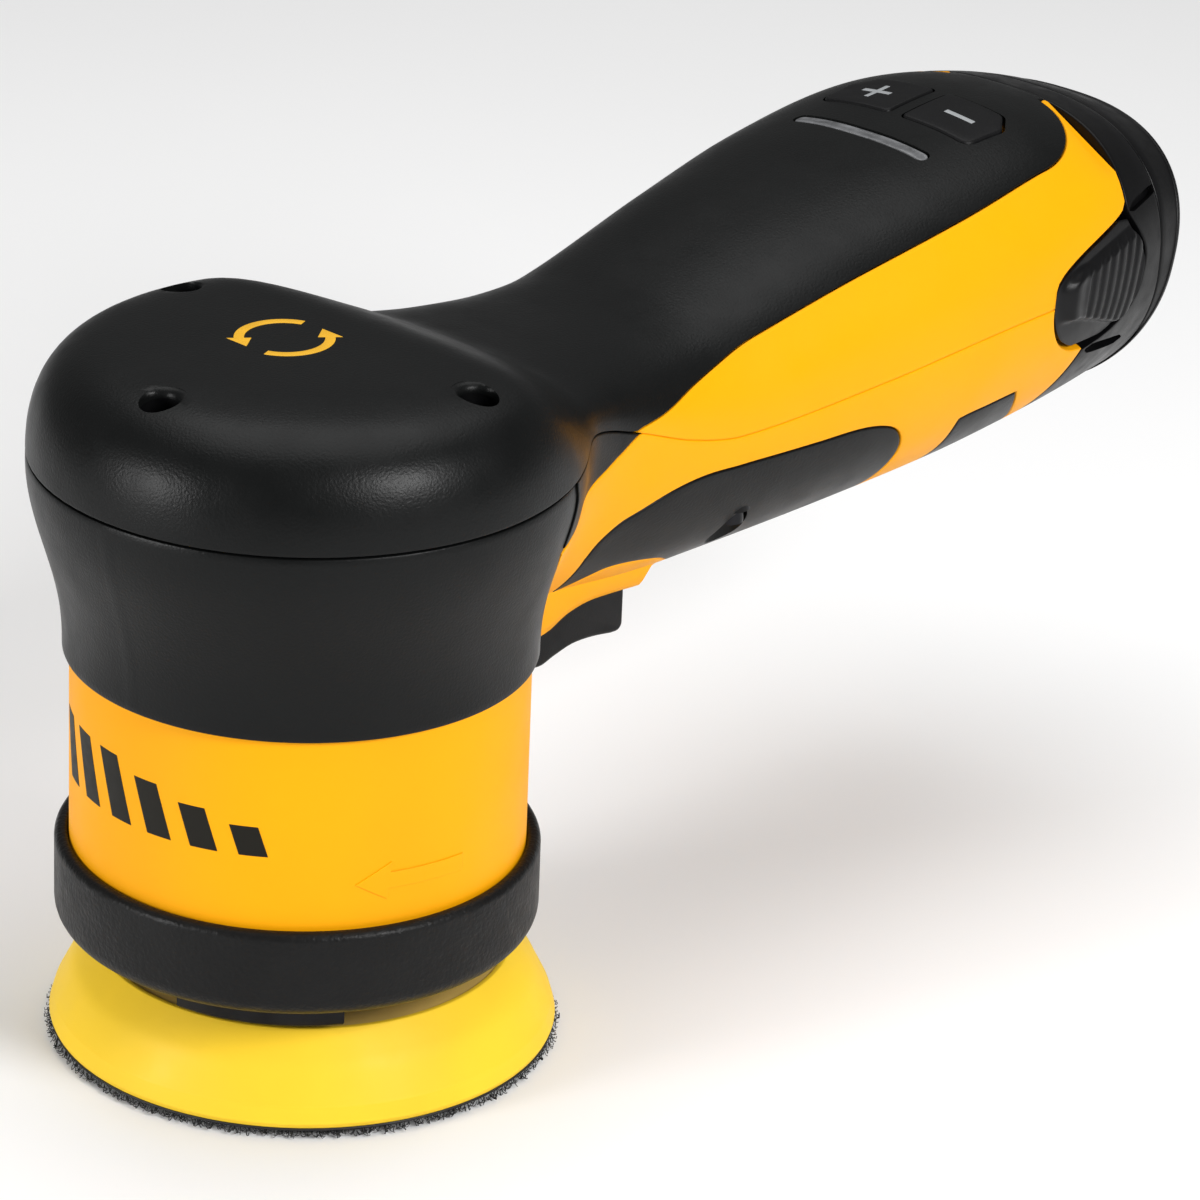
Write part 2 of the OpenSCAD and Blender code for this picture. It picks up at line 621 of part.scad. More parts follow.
// ---- battery ----
UP_ROUND = [0, 5, 9, 13, 17, 21, 26, 34, 43, 54, 66, 78, 90, 102, 114, 126, 137, 146, 154, 159, 163, 167, 171, 175, 180];
DOWN_ROUND = [175, 171, 167, 164, 162, 161, 152, 140, 126, 114, 102, 90, 78, 66, 54, 40, 28, 19, 18, 16, 13, 9, 5];
function cap_start(angle, up) = up
    ? mix(shell_end + 0.4, latch_rear, notch(angle))
    : mix(lower_end + 0.4 - lower_sweep * sin(angle), latch_rear, notch_below(angle));
// Place at which the skin passes an upright plane x
function plane_place(x, angle, up, d, s = 171, n = 5) = n == 0 ? s : let (
        p = up ? upper(s, angle, d) : lower(s, angle, d))
    plane_place(x, angle, up, d, s + x - p[0], n - 1);
function round_ring(d, place) = concat(
    [for (a = UP_ROUND) upper(place(a, true), a, d)],
    [for (a = DOWN_ROUND) lower(place(a, false), a, d)]);
function cap_ring(f, d) = round_ring(d, function (a, up) let (s = cap_start(a, up))
    s + (plane_place(cap_x, a, up, d) - s) * f);
function plane_ring(x, d) = round_ring(d, function (a, up) plane_place(x, a, up, d));
function plate_ring(s, d) = round_ring(d, function (a, up) s);
module battery_housing() {
    color("darkslategray") tube([plane_ring(cap_x - wall, wall), cap_ring(0, wall), cap_ring(0, 0),
        cap_ring(0.35, 0), cap_ring(0.7, 0), cap_ring(1, 0)],
        [cap_x - wall, 0, axis_z], [cap_x, 0, axis_z]);
}
module battery_end_plate() {
    e = battery_end;
    color("dimgray") tube([plane_ring(cap_x + 0.1, 0.2), plane_ring(cap_x + 0.5, 0), plate_ring(e - 1.2, -0.3),
        plate_ring(e - 0.4, -0.3), plate_ring(e, 1.2)], [cap_x + 0.1, 0, axis_z], [e + 0.6, 0, axis_z]);
}
module stem_outline(r) {
    for (a = [30, 150, 270]) rotate(a) translate([cell_r * 1.155, 0]) circle(r = r);
    inset = r - 0.06;
    polygon([for (a = [30, 150, 270], b = [-60, 60])
        [cell_r * 1.155 * cos(a) + inset * cos(a + b), cell_r * 1.155 * sin(a) + inset * sin(a + b)]]);
}
module along_x(x) {
    translate([x, 0, cell_z]) rotate([90, 0, 90]) children();
}
module battery_stem() {
    color("dimgray") difference() {
        along_x(stem_x) linear_extrude(stem_l) stem_outline(stem_r);
        along_x(stem_x + 1.6) linear_extrude(80) stem_outline(stem_r - 1.2);
        for (k = [-1, 0, 1]) translate([stem_x - 2, 7 * k - 1.2, 82.4]) cube([6, 2.4, 8.6]);
    }
}
module battery_cells() {
    color("steelblue") along_x(cell_x) for (a = [30, 150, 270]) rotate([0, 0, a])
        translate([cell_r * 1.155, 0, 0]) cylinder(h = cell_l, r = cell_r - 0.1);
}
module battery_contacts() {
    color("goldenrod") for (k = [-1, 0, 1]) translate([stem_x + 1.8, 7 * k - 2.2, 83.4])
        difference() {
            cube([3.6, 4.4, 7]);
            translate([-1, 1.5, -1]) cube([3, 1.4, 9]);
        }
}
// Place on a latch: its edge follows the notch a little further round, so that it clears it when pressed in
function latch_place(a, up, f) = let (q = a + (up ? press_above : press_below))
    mix((up ? end_up(q) : end_down(q)) + latch_gap, cap_start(q, up) - latch_gap, f);
function latch_point(a, up, f, d, side) = let (s = latch_place(a, up, f), b = side < 0 ? a : 180 - a)
    up ? upper(s, b, d) : lower(s, b, d);
function latch_rows(d, side) = [for (f = [0 : 0.25 : 1]) let (
        above = [for (a = [0, 4, 8, 12, 15, 18]) latch_point(a, true, f, d, side)],
        below = [for (a = [16, 14, 11, 8, 4]) latch_point(a, false, f, d, side)],
        row = concat(below, above))
    side < 0 ? row : [for (k = [len(row) - 1 : -1 : 0]) row[k]]];
module latch(side) {
    skin(latch_rows(-0.5, side), latch_rows(3, side));
}
module left_latch() {
    color("black") latch(1);
}
module right_latch() {
    color("black") latch(-1);
}
module latch_spring(side) {
    turns = 3;
    pitch = 1.1;
    color("silver") translate([149, side * 26.2, axis_z]) rotate([side * 90, 0, 0])
        for (k = [0 : turns - 1]) translate([0, 0, pitch * k]) rotate_extrude()
            translate([2.4, 0]) circle(r = 0.4, $fn = 16);
}
module left_latch_spring() {
    latch_spring(1);
}
module right_latch_spring() {
    latch_spring(-1);
}

hook_facing();
backing_pad();
pad_hub();
pad_spindle();
eccentric_shaft();
counterweight();
eccentric_bearings();
rotor_core();
rotor_magnets();
lower_bearing();
upper_bearing();
stator_core();
stator_windings();
lower_bearing_plate();
upper_bearing_bracket();
motor_sleeve();
bumper_ring();
head_skirt();
upper_shell();
upper_grip();
lower_shell();
lower_grip();
dome_screws();
handle_screws();
control_board();
board_components();
phase_wires();
battery_terminals();
button_board();
light_bar();
plus_button();
minus_button();
plus_spring();
minus_spring();
trigger_lever();
trigger_pin();
trigger_spring();
trigger_switch();
battery_housing();
battery_end_plate();
battery_stem();
battery_cells();
battery_contacts();
left_latch();
right_latch();
left_latch_spring();
right_latch_spring();
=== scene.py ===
"""Looks of the cordless polisher: shells, pad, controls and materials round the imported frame."""

import math
import random

import bmesh
import bpy
import numpy as np
from mathutils import Matrix, Vector, geometry, kdtree


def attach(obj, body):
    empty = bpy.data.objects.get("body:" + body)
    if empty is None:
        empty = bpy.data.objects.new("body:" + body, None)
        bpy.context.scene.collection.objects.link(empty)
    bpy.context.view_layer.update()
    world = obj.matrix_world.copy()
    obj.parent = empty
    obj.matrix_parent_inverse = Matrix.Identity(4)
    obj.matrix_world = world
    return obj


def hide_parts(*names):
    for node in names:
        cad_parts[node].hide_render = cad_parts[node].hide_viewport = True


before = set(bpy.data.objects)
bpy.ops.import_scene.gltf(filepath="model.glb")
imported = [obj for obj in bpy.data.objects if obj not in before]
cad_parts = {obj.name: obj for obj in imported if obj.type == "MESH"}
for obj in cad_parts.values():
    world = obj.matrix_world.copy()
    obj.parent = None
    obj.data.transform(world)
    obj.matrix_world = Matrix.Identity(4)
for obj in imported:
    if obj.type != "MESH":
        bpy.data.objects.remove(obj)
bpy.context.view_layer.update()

MM = 0.001
PER_METRE = 1000
SHARP = 38  # degrees: a sharper fold stays a hard edge
FINE = 224  # steps round the large turned pieces

# ---- sizes of the design, in millimetres ----
DOME_R = 40.45
DOME_Z = 96.1
DOME_H = 16.75
DOME_FLAT = 7.22
DOME_ROUND = 2.185
SKIRT_R = 35.15
SKIRT_Z = 65.2
SLEEVE_R = 34.1
RING_R = 36.3
RING_Z = 21.4
PAD_R = 38.5
PAD_TOP_R = 31.5
PAD_Z0 = 1.6
PAD_Z1 = 14.6
ORBIT = 6
ORBIT_ANGLE = math.radians(32)
WEIGHT_R = 28.6
PAD_X = ORBIT * math.cos(ORBIT_ANGLE)
PAD_Y = ORBIT * math.sin(ORBIT_ANGLE)
WALL = 3
GRIP_T = 1.2
SUNK = 1.4
UPPER_FULL = 2.5
LOWER_FULL = 2.0
SHELL_END = 157.6
LOWER_END = 153
LOWER_SWEEP = 6
LATCH_FRONT = 138
LATCH_REAR = 165
NOTCH_UP = 26
NOTCH_DOWN = 19
NOTCH_SLOPE = 0.846
LATCH_GAP = 0.4
PRESS_ABOVE = 1.7
PRESS_BELOW = 1.1
LATCH_TOP = 19.6
LATCH_BOTTOM = 17
GRIP_REAR = 157.75
TOP_EDGE = 77
BATTERY_END = 177
CAP_X = BATTERY_END - 5.4
AXIS_Z = 87.6
LEAN = 0.3
TRIGGER_W = 19
PIVOT_X = 41
TRIGGER_X1 = 62.5
TRIGGER_Z = 50.6
BUTTON_S = 139
BUTTON_L = 12.4
BUTTON_W = 14.2
BUTTON_Y = 1.35
LIGHT_S = 126.6
LIGHT_HALF = 13.2
SCREW_X = 74.5
SCREW_Y = 19.5
DOME_SCREW_R = 30
DOME_SCREWS = (82, 180, 278)
SKIRT_LIP = 1.6
SKIRT_CURVE = 1.35
# Where the handle's curves take over from the dome's, and where its end begins to lean
BLEND_AT = 10
BLEND_OVER = 24
NECK_AT = 4
NECK_END = 64
NECK_OVER = 16
NECK_ROUND = 4
LEAN_AT = 120
LEAN_OVER = 50
# The overmoulding's edge turns up behind the keys along a quarter of an ellipse
CROWN_AT = 141
CROWN_R = 15.8
CROWN_REACH = 15.2
CROWN_ANGLE = 46
# Millimetres of skin in one degree: near the seam, at the latches, and in flat patches
SEAM_MM = 0.62
LATCH_MM = 0.55
FLAT_MM = 0.5
FIT_AT = 137  # the upper shell's rows are fitted to its end line from here
JOINT_GAP = 0.14
RIB_PITCH = 2.6
HOOK_COUNT = 1500
HOOK_SEED = 12
HOOK_TURNS = 7
HOOK_POINTS = 6
HOOK_ROOT = 1.25
HOOK_REACH = 0.72

# Handle stations: place, top, belly, half width and seam height
STATIONS = [
    (24, 106, 62, 28.5, 97),
    (34, 104.6, 60.4, 26, 96.6),
    (45, 103.5, 59.4, 25, 93.2),
    (58, 102.8, 58.6, 25.4, 88.4),
    (70, 103.6, 58.4, 26, 86),
    (100, 110, 58.4, 29.4, 87.4),
    (126, 114.2, 59, 32.3, 89.8),
    (145, 116, 60, 32.6, 90),
    (162, 113.2, 61, 30.8, 88.2),
    (178, 108, 62.2, 28, 86),
]
# Lower edge of the upper overmoulding: place and angle above the seam
GRIP_EDGE = [(40, -5), (44, -1), (50, 9), (59, 26), (68, 36), (76, 40), (120, 42.5), (141, 46)]


# ---- curves ----
def ease(t):
    u = min(1, max(0, t))
    return u * u * (3 - 2 * u)


def mix(a, b, t):
    return a + (b - a) * t


def power(v, p):
    return 0 if v <= 0 else v ** p


def slope(rows, k, i):
    a, b = max(0, i - 1), min(len(rows) - 1, i + 1)
    return (rows[b][k] - rows[a][k]) / (rows[b][0] - rows[a][0])


def track(rows, k, x):
    """Smooth curve through the rows of a table, column k against column 0."""
    if x <= rows[0][0]:
        return rows[0][k]
    for i in range(len(rows) - 1):
        if x <= rows[i + 1][0]:
            w = rows[i + 1][0] - rows[i][0]
            u = (x - rows[i][0]) / w
            ends = (2 * u ** 3 - 3 * u * u + 1) * rows[i][k] + (3 * u * u - 2 * u ** 3) * rows[i + 1][k]
            tilt = (u ** 3 - 2 * u * u + u) * slope(rows, k, i) + (u ** 3 - u * u) * slope(rows, k, i + 1)
            return ends + w * tilt
    return rows[-1][k]


# ---- skin of the head and handle, d is the depth below it ----
def skirt_radius(z):
    rise = ease((z - SKIRT_Z) / (DOME_Z - SKIRT_LIP - SKIRT_Z))
    return SKIRT_R + (DOME_R - SKIRT_R) * power(rise, SKIRT_CURVE)


def lean(s):
    return LEAN * min(1, max(0, (s - LEAN_AT) / LEAN_OVER))


def half_width(s, d):
    arc = math.sqrt(max(0, (DOME_R - d) ** 2 - s * s))
    bar = track(STATIONS, 3, s) - d
    if s < NECK_AT:
        return arc
    if s > NECK_END:
        return bar
    k = NECK_ROUND * ease((s - NECK_AT) / NECK_OVER) * ease((NECK_END - s) / NECK_OVER)
    return (arc + bar + math.sqrt((arc - bar) ** 2 + k * k)) / 2


def handle_share(s):
    return ease((s - BLEND_AT) / BLEND_OVER)


def seam(s):
    q = handle_share(s)
    return (1 - q) * DOME_Z + q * track(STATIONS, 4, s)


def dome_height(share, d):
    return DOME_Z + (DOME_H - d) * power(1 - power(share, DOME_FLAT), 1 / DOME_ROUND)


def upper(s, angle, d=0):
    """Upper half: angle 0 is the -Y seam, 90 the ridge and 180 the +Y seam. Below s = 0 s is a bearing."""
    c = math.cos(math.radians(angle))
    t = power(abs(c), 2 / UPPER_FULL)
    side = -1 if c > 0 else 1
    r = DOME_R - d
    if s < 0:
        bearing = math.radians(-s)
        return (-r * t * math.sin(bearing), side * r * t * math.cos(bearing), dome_height(t, d))
    w = half_width(s, d)
    share = min(1, math.sqrt(s * s + t * t * max(0, r * r - s * s)) / r)
    zs = track(STATIONS, 4, s)
    rise = power(abs(math.sin(math.radians(angle))), 2 / UPPER_FULL)
    bar = zs + (track(STATIONS, 1, s) - d - zs) * rise
    q = handle_share(s)
    z = (1 - q) * dome_height(share, d) + q * bar
    return (s + lean(s) * (z - AXIS_Z), side * t * w, z)


def lower(s, angle, d=0):
    """Lower half: angle 0 is the -Y seam, 90 the belly and 180 the +Y seam."""
    c = math.cos(math.radians(angle))
    zs = seam(s)
    z = zs - (zs - track(STATIONS, 2, s) - d) * power(abs(math.sin(math.radians(angle))), 2 / LOWER_FULL)
    return (s + lean(s) * (z - AXIS_Z), -c * half_width(s, d), z)


def around(s, angle, d=0):
    """Either half by one angle: above 0 the upper half, below 0 the lower one."""
    return upper(s, angle, d) if angle >= 0 else lower(s, -angle, d)


def from_seam(angle):
    return min(angle, 180 - angle)


def notch(angle):
    return ease((NOTCH_UP - from_seam(angle)) / (NOTCH_UP * NOTCH_SLOPE))


def notch_below(angle):
    return math.sqrt(max(0, 1 - (from_seam(angle) / NOTCH_DOWN) ** 2))


def end_line(angle, up, gap=0, reach=LATCH_FRONT):
    """Place where a shell ends, or where the battery case starts behind it, with the latch notch."""
    if up:
        return mix(SHELL_END + gap, reach, notch(angle))
    sweep = LOWER_SWEEP * math.sin(math.radians(angle))
    return mix(LOWER_END + gap - sweep, reach, notch_below(angle))


def cap_start(angle, up):
    return end_line(angle, up, 0.3, LATCH_REAR)


def plane_place(x, angle, up, d):
    """Place at which the skin passes an upright plane x."""
    s = x
    for _ in range(5):
        s += x - (upper if up else lower)(s, angle, d)[0]
    return s


def grip_edge(s):
    """Angle above the seam of the overmoulding's lower edge."""
    if s < CROWN_AT:
        return track(GRIP_EDGE, 1, s)
    drop = math.sqrt(max(0, 1 - ((s - CROWN_AT) / CROWN_R) ** 2))
    return min(TOP_EDGE, CROWN_ANGLE + (90 - CROWN_ANGLE) * (1 - drop))


def meet(angle):
    """Place where the lower half meets the skirt."""
    s = 30
    for _ in range(8):
        p = lower(s, angle)
        r = skirt_radius(max(SKIRT_Z, p[2])) - 0.1
        s = math.sqrt(max(1, r * r - p[1] ** 2))
    return s


def angle_at(s, y):
    """Angle above the seam at which the upper half is y away from the middle."""
    a = math.degrees(math.acos(power(min(1, abs(y) / half_width(s, 0)), UPPER_FULL / 2)))
    return a if y < 0 else 180 - a


def rounding(x, r):
    """Depth of a rounded edge of radius r at a distance x from it."""
    return 0 if x >= r else r - math.sqrt(max(0, r * r - (r - max(0, x)) ** 2))


def spread(a, b, n):
    return [a + (b - a) * k / n for k in range(n + 1)]


def polar(r, degrees):
    return (r * math.cos(math.radians(degrees)), r * math.sin(math.radians(degrees)))


# ---- materials ----
NOISE_LOW = 0.3
NOISE_HIGH = 0.7
SMEAR = 0.35  # patches of gloss against the clouds of colour, in size
PATTERN_DEPTH = 0.15


def linear(r, g, b):
    """Linear colour from a display colour of 0 to 255."""
    def channel(v):
        v /= 255
        return v / 12.92 if v <= 0.04045 else ((v + 0.055) / 1.055) ** 2.4
    return (channel(r), channel(g), channel(b), 1)


def link(tree, source, target):
    tree.links.new(source, target)


def noise_node(tree, coord, scale, detail):
    n = tree.nodes.new("ShaderNodeTexNoise")
    n.inputs["Scale"].default_value = scale
    n.inputs["Detail"].default_value = detail
    link(tree, coord, n.inputs["Vector"])
    return n.outputs["Fac"]


def ramp_node(tree, fac, stops):
    n = tree.nodes.new("ShaderNodeValToRGB")
    n.color_ramp.elements[0].position = stops[0][0]
    n.color_ramp.elements[0].color = stops[0][1]
    n.color_ramp.elements[1].position = stops[-1][0]
    n.color_ramp.elements[1].color = stops[-1][1]
    for place, colour in stops[1:-1]:
        n.color_ramp.elements.new(place).color = colour
    link(tree, fac, n.inputs["Fac"])
    return n.outputs["Color"]


def range_node(tree, fac, low, high):
    n = tree.nodes.new("ShaderNodeMapRange")
    n.inputs["From Min"].default_value = NOISE_LOW
    n.inputs["From Max"].default_value = NOISE_HIGH
    n.inputs["To Min"].default_value = low
    n.inputs["To Max"].default_value = high
    link(tree, fac, n.inputs["Value"])
    return n.outputs["Result"]


def shade(colour, k):
    return tuple(min(1, c * k) for c in colour[:3]) + (1,)


def bump_chain(tree, bsdf, layers):
    """Bumps one on another: (height socket, depth in mm)."""
    normal = None
    for height, depth in layers:
        b = tree.nodes.new("ShaderNodeBump")
        b.inputs["Strength"].default_value = 1
        b.inputs["Distance"].default_value = depth * MM
        link(tree, height, b.inputs["Height"])
        if normal:
            link(tree, normal, b.inputs["Normal"])
        normal = b.outputs["Normal"]
    link(tree, normal, bsdf.inputs["Normal"])


def material(name, colour, rough, vary, grain, depth, metal, cloud, specular=0.5, pattern=None):
    """Surface with cloudy colour, uneven gloss and fine grain. Grain, depth and cloud are in mm."""
    m = bpy.data.materials.new(name)
    m.use_nodes = True
    tree = m.node_tree
    bsdf = tree.nodes["Principled BSDF"]
    coord = tree.nodes.new("ShaderNodeTexCoord").outputs["Object"]
    clouds = noise_node(tree, coord, PER_METRE / cloud, 4)
    base = linear(*colour)
    stops = [(NOISE_LOW, shade(base, 1 - vary)), (0.5, base), (0.72, shade(base, 1 + vary))]
    link(tree, ramp_node(tree, clouds, stops), bsdf.inputs["Base Color"])
    smear = noise_node(tree, coord, PER_METRE / (cloud * SMEAR), 5)
    link(tree, range_node(tree, smear, *rough), bsdf.inputs["Roughness"])
    layers = [(noise_node(tree, coord, PER_METRE / grain, 2), depth)]
    if pattern:
        layers.append((pattern(tree, coord), PATTERN_DEPTH))
    bump_chain(tree, bsdf, layers)
    bsdf.inputs["Metallic"].default_value = metal
    bsdf.inputs["Specular IOR Level"].default_value = specular
    return m


def bands(scale, axis="Z", distort=0.0):
    """Even bands along an axis, for laminations, windings and brushed parts."""
    def make(tree, coord):
        w = tree.nodes.new("ShaderNodeTexWave")
        w.bands_direction = axis
        w.inputs["Scale"].default_value = scale
        w.inputs["Distortion"].default_value = distort
        link(tree, coord, w.inputs["Vector"])
        return w.outputs["Fac"]
    return make


# Slot: name, display colour, roughness range, colour variation, grain, its depth, metal, cloud,
# specular level and pattern
LOOKS = {
    "yellow_plastic": ("body_yellow", (243, 164, 3), (0.42, 0.54), 0.025, 0.5, 0.004, 0, 30, 0.13),
    "soft_black": ("overmould_black", (13, 14, 14), (0.33, 0.42), 0.12, 0.42, 0.05, 0, 18, 0.15),
    "black_plastic": ("case_black", (9, 9, 10), (0.3, 0.44), 0.12, 0.3, 0.02, 0, 10, 0.15),
    "latch": ("latch_black", (17, 17, 18), (0.28, 0.4), 0.12, 0.25, 0.015, 0, 8, 0.16),
    "bumper_rubber": ("bumper_grain", (18, 18, 18), (0.36, 0.48), 0.15, 0.75, 0.15, 0, 9, 0.16),
    "pad_foam": ("pad_lemon", (246, 204, 50), (0.42, 0.56), 0.04, 0.8, 0.012, 0, 22, 0.15),
    # pad_core: a darker, browner copy of the pad's yellow, painted shade for the top plate seen in the gap
    # under the ring
    "pad_core": ("pad_core_painted_shade_tan", (214, 178, 96), (0.45, 0.6), 0.08, 0.6, 0.02, 0, 8),
    "hook_fabric": ("hook_nylon", (16, 16, 17), (0.5, 0.7), 0.2, 0.3, 0.03, 0, 4),
    "button_rubber": ("key_black", (15, 15, 16), (0.4, 0.52), 0.1, 0.25, 0.02, 0, 6, 0.15),
    "button_black": ("key_body", (15, 15, 16), (0.42, 0.54), 0.1, 0.25, 0.02, 0, 6),
    "light_lens": ("lens_grey", (96, 97, 99), (0.22, 0.4), 0.45, 0.7, 0.03, 0, 2.2, 0.5,
                   bands(160, "X", 4.0)),
    "key_mark": ("mark_grey", (150, 153, 155), (0.4, 0.5), 0.05, 0.3, 0.01, 0, 3),
    "dark_print": ("print_black", (24, 22, 16), (0.4, 0.5), 0.1, 0.4, 0.005, 0, 5, 0.15),
    "gold_print": ("print_yellow", (226, 170, 26), (0.4, 0.5), 0.08, 0.4, 0.005, 0, 4),
    "steel": ("ground_steel", (178, 180, 184), (0.22, 0.36), 0.06, 0.3, 0.01, 1, 6),
    "dark_steel": ("blackened_steel", (40, 40, 42), (0.32, 0.48), 0.2, 0.3, 0.02, 1, 5),
    "bearing_steel": ("bearing_chrome", (200, 202, 206), (0.12, 0.24), 0.04, 0.2, 0.005, 1, 4),
    "laminations": ("stacked_steel", (120, 122, 126), (0.4, 0.55), 0.15, 0.3, 0.02, 1, 5, 0.5,
                    bands(900)),
    "magnet": ("magnet_nickel", (150, 150, 152), (0.25, 0.4), 0.08, 0.3, 0.01, 1, 5),
    "copper": ("enamel_copper", (196, 104, 48), (0.28, 0.42), 0.2, 0.4, 0.02, 1, 3, 0.5,
               bands(420, "X", 1.5)),
    "cast_alloy": ("cast_aluminium", (168, 170, 174), (0.45, 0.62), 0.1, 0.5, 0.05, 1, 6),
    "board_green": ("solder_mask", (20, 92, 52), (0.3, 0.45), 0.25, 1.2, 0.03, 0, 2),
    "wire_red": ("wire_sleeve", (170, 32, 26), (0.4, 0.55), 0.1, 0.5, 0.02, 0, 6),
    "cell_wrap": ("cell_sleeve", (44, 110, 150), (0.3, 0.45), 0.1, 0.6, 0.02, 0, 12),
    "floor": ("floor_white", (246, 246, 246), (0.75, 0.85), 0.004, 2, 0.01, 0, 400),
}
MAT = {slot: material(*row) for slot, row in LOOKS.items()}
NODE_MATERIAL = {"handle_screws": "dark_steel", "dome_screws": "dark_steel"}


# ---- meshes ----
def finish_mesh(mesh):
    bm = bmesh.new()
    bm.from_mesh(mesh)
    bmesh.ops.remove_doubles(bm, verts=bm.verts, dist=2e-6)
    bmesh.ops.dissolve_degenerate(bm, edges=bm.edges, dist=1e-7)
    bmesh.ops.recalc_face_normals(bm, faces=bm.faces)
    bm.to_mesh(mesh)
    bm.free()
    mesh.shade_smooth()
    mesh.set_sharp_from_angle(angle=math.radians(SHARP))


def add_object(name, data):
    obj = bpy.data.objects.new(name, data)
    bpy.context.scene.collection.objects.link(obj)
    return obj


def build_mesh(name, points, faces):
    """Mesh from points in millimetres."""
    mesh = bpy.data.meshes.new(name)
    mesh.from_pydata([Vector(p) * MM for p in points], [], faces)
    finish_mesh(mesh)
    return mesh


def add_mesh(name, points, faces, look):
    mesh = build_mesh(name, points, faces)
    mesh.materials.append(MAT[look])
    return add_object(name, mesh)


def settle(obj, body, slot, *replaced):
    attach(obj, body)
    if replaced:
        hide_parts(*replaced)


def piece(name, shape, body, slot, *replaced, look=None, cutters=()):
    """One visible piece from its points and faces, in the look of its slot unless another is named."""
    obj = add_mesh(name, *shape, look or slot)
    if cutters:
        cut(obj, *cutters)
    settle(obj, body, slot, *replaced)


def grid_faces(n, m, start=0, closed=False):
    last = m if closed else m - 1
    out = []
    for i in range(n - 1):
        for j in range(last):
            a, b = start + i * m + j, start + i * m + (j + 1) % m
            out.append((a, b, b + m, a + m))
    return out


def skin(outer, inner, front=True):
    """Points and faces of a closed wall between two grids; front is left out where the rows close there."""
    n, m = len(outer), len(outer[0])
    k = n * m
    faces = grid_faces(n, m) + [f[::-1] for f in grid_faces(n, m, k)]
    for i in range(n - 1):
        for j in (0, m - 1):
            a, b = i * m + j, (i + 1) * m + j
            faces.append((a, b, b + k, a + k))
    for i in ([0] if front else []) + [n - 1]:
        for j in range(m - 1):
            a = i * m + j
            faces.append((a, a + 1, a + 1 + k, a + k))
    return [p for row in outer for p in row] + [p for row in inner for p in row], faces


def tube(rings, front, rear):
    """Closed tube: rings of points, with each end fanned to its own centre."""
    n, m = len(rings), len(rings[0])
    faces = grid_faces(n, m, 0, True)
    for j in range(m):
        faces.append((n * m, (j + 1) % m, j))
        faces.append((n * m + 1, (n - 1) * m + j, (n - 1) * m + (j + 1) % m))
    return [p for ring in rings for p in ring] + [front, rear], faces


def lathe(profile, steps, centre=(0, 0)):
    """Points and faces of a closed profile of (radius, height) turned about an upright axis."""
    points = []
    for k in range(steps):
        a = 2 * math.pi * k / steps
        points += [(centre[0] + r * math.cos(a), centre[1] + r * math.sin(a), z) for r, z in profile]
    m = len(profile)
    faces = []
    for k in range(steps):
        for j in range(m):
            a, b = k * m + j, k * m + (j + 1) % m
            c, d = (k + 1) % steps * m + (j + 1) % m, (k + 1) % steps * m + j
            faces.append((a, b, c, d))
    return points, faces


def bend(profile, radii, n=5):
    """Rounds the corners of a closed profile: one radius a corner, 0 leaves it sharp."""
    out = []
    count = len(profile)
    for i, (p, r) in enumerate(zip(profile, radii)):
        p = Vector(p)
        if not r:
            out.append(tuple(p))
            continue
        a = (Vector(profile[i - 1]) - p).normalized()
        b = (Vector(profile[(i + 1) % count]) - p).normalized()
        half = a.angle(b) / 2
        cut = r / math.tan(half)
        centre = p + (a + b).normalized() * (r / math.sin(half))
        start, end = p + a * cut - centre, p + b * cut - centre
        turn = start.angle_signed(end)
        for k in range(n + 1):
            out.append(tuple(centre + Matrix.Rotation(-turn * k / n, 2) @ start))
    return out


def cut(obj, *cutters):
    """Takes closed cutters out of a closed piece."""
    for points, faces in cutters:
        mesh = build_mesh("cutter", points, faces)
        tool = add_object("cutter", mesh)
        mod = obj.modifiers.new("cut", "BOOLEAN")
        mod.operation = "DIFFERENCE"
        mod.solver = "EXACT"
        mod.object = tool
        bpy.context.view_layer.update()
        result = bpy.data.meshes.new_from_object(obj.evaluated_get(bpy.context.evaluated_depsgraph_get()))
        old = obj.data
        obj.modifiers.clear()
        obj.data = result
        bpy.data.meshes.remove(old)
        bpy.data.objects.remove(tool)
        bpy.data.meshes.remove(mesh)
    finish_mesh(obj.data)


def well(x, y, z0, z1, r, flare, base):
    """Cutter for an upright well of radius r whose mouth at height z1 flares softly; base closes it."""
    profile = [(0.001, z0), (r, z0), (r, z1 - flare)]
    profile += [(r + flare * (1 - math.cos(a)), z1 - flare + flare * math.sin(a))
                for a in spread(0.2, math.pi / 2, 7)]
    profile += [(r + flare, base), (0.001, base)]
    return lathe(profile, 40, (x, y))


# ---- patches of the skin with any outline ----
TINY_AREA = 2e-4  # a triangle below this with all corners on the outline is dropped
ON_EDGE = 1e-4


def smooth_line(points, n=6):
    """Smooth curve through a few points."""
    out = []
    last = len(points) - 1
    for i in range(last):
        p = [Vector(points[min(last, max(0, i + k))]) for k in (-1, 0, 1, 2)]
        for j in range(n):
            t = j / n
            out.append(tuple(0.5 * (2 * p[1] + (p[2] - p[0]) * t
                                    + (2 * p[0] - 5 * p[1] + 4 * p[2] - p[3]) * t * t
                                    + (3 * p[1] - p[0] - 3 * p[2] + p[3]) * t ** 3)))
    return out + [tuple(points[-1])]


def resample(loop, step):
    out = []
    for i, p in enumerate(loop):
        a, b = Vector(p), Vector(loop[(i + 1) % len(loop)])
        n = max(1, math.ceil((b - a).length / step))
        out += [a.lerp(b, k / n) for k in range(n) if (b - a).length > 1e-5]
    return out


def inside(points, loop):
    x, y = points[:, 0], points[:, 1]
    hit = np.zeros(len(points), bool)
    for a, b in zip(loop, loop[1:] + loop[:1]):
        crosses = (a.y > y) != (b.y > y)
        if abs(b.y - a.y) > 1e-12:
            hit ^= crosses & (x < (b.x - a.x) * (y - a.y) / (b.y - a.y) + a.x)
    return hit


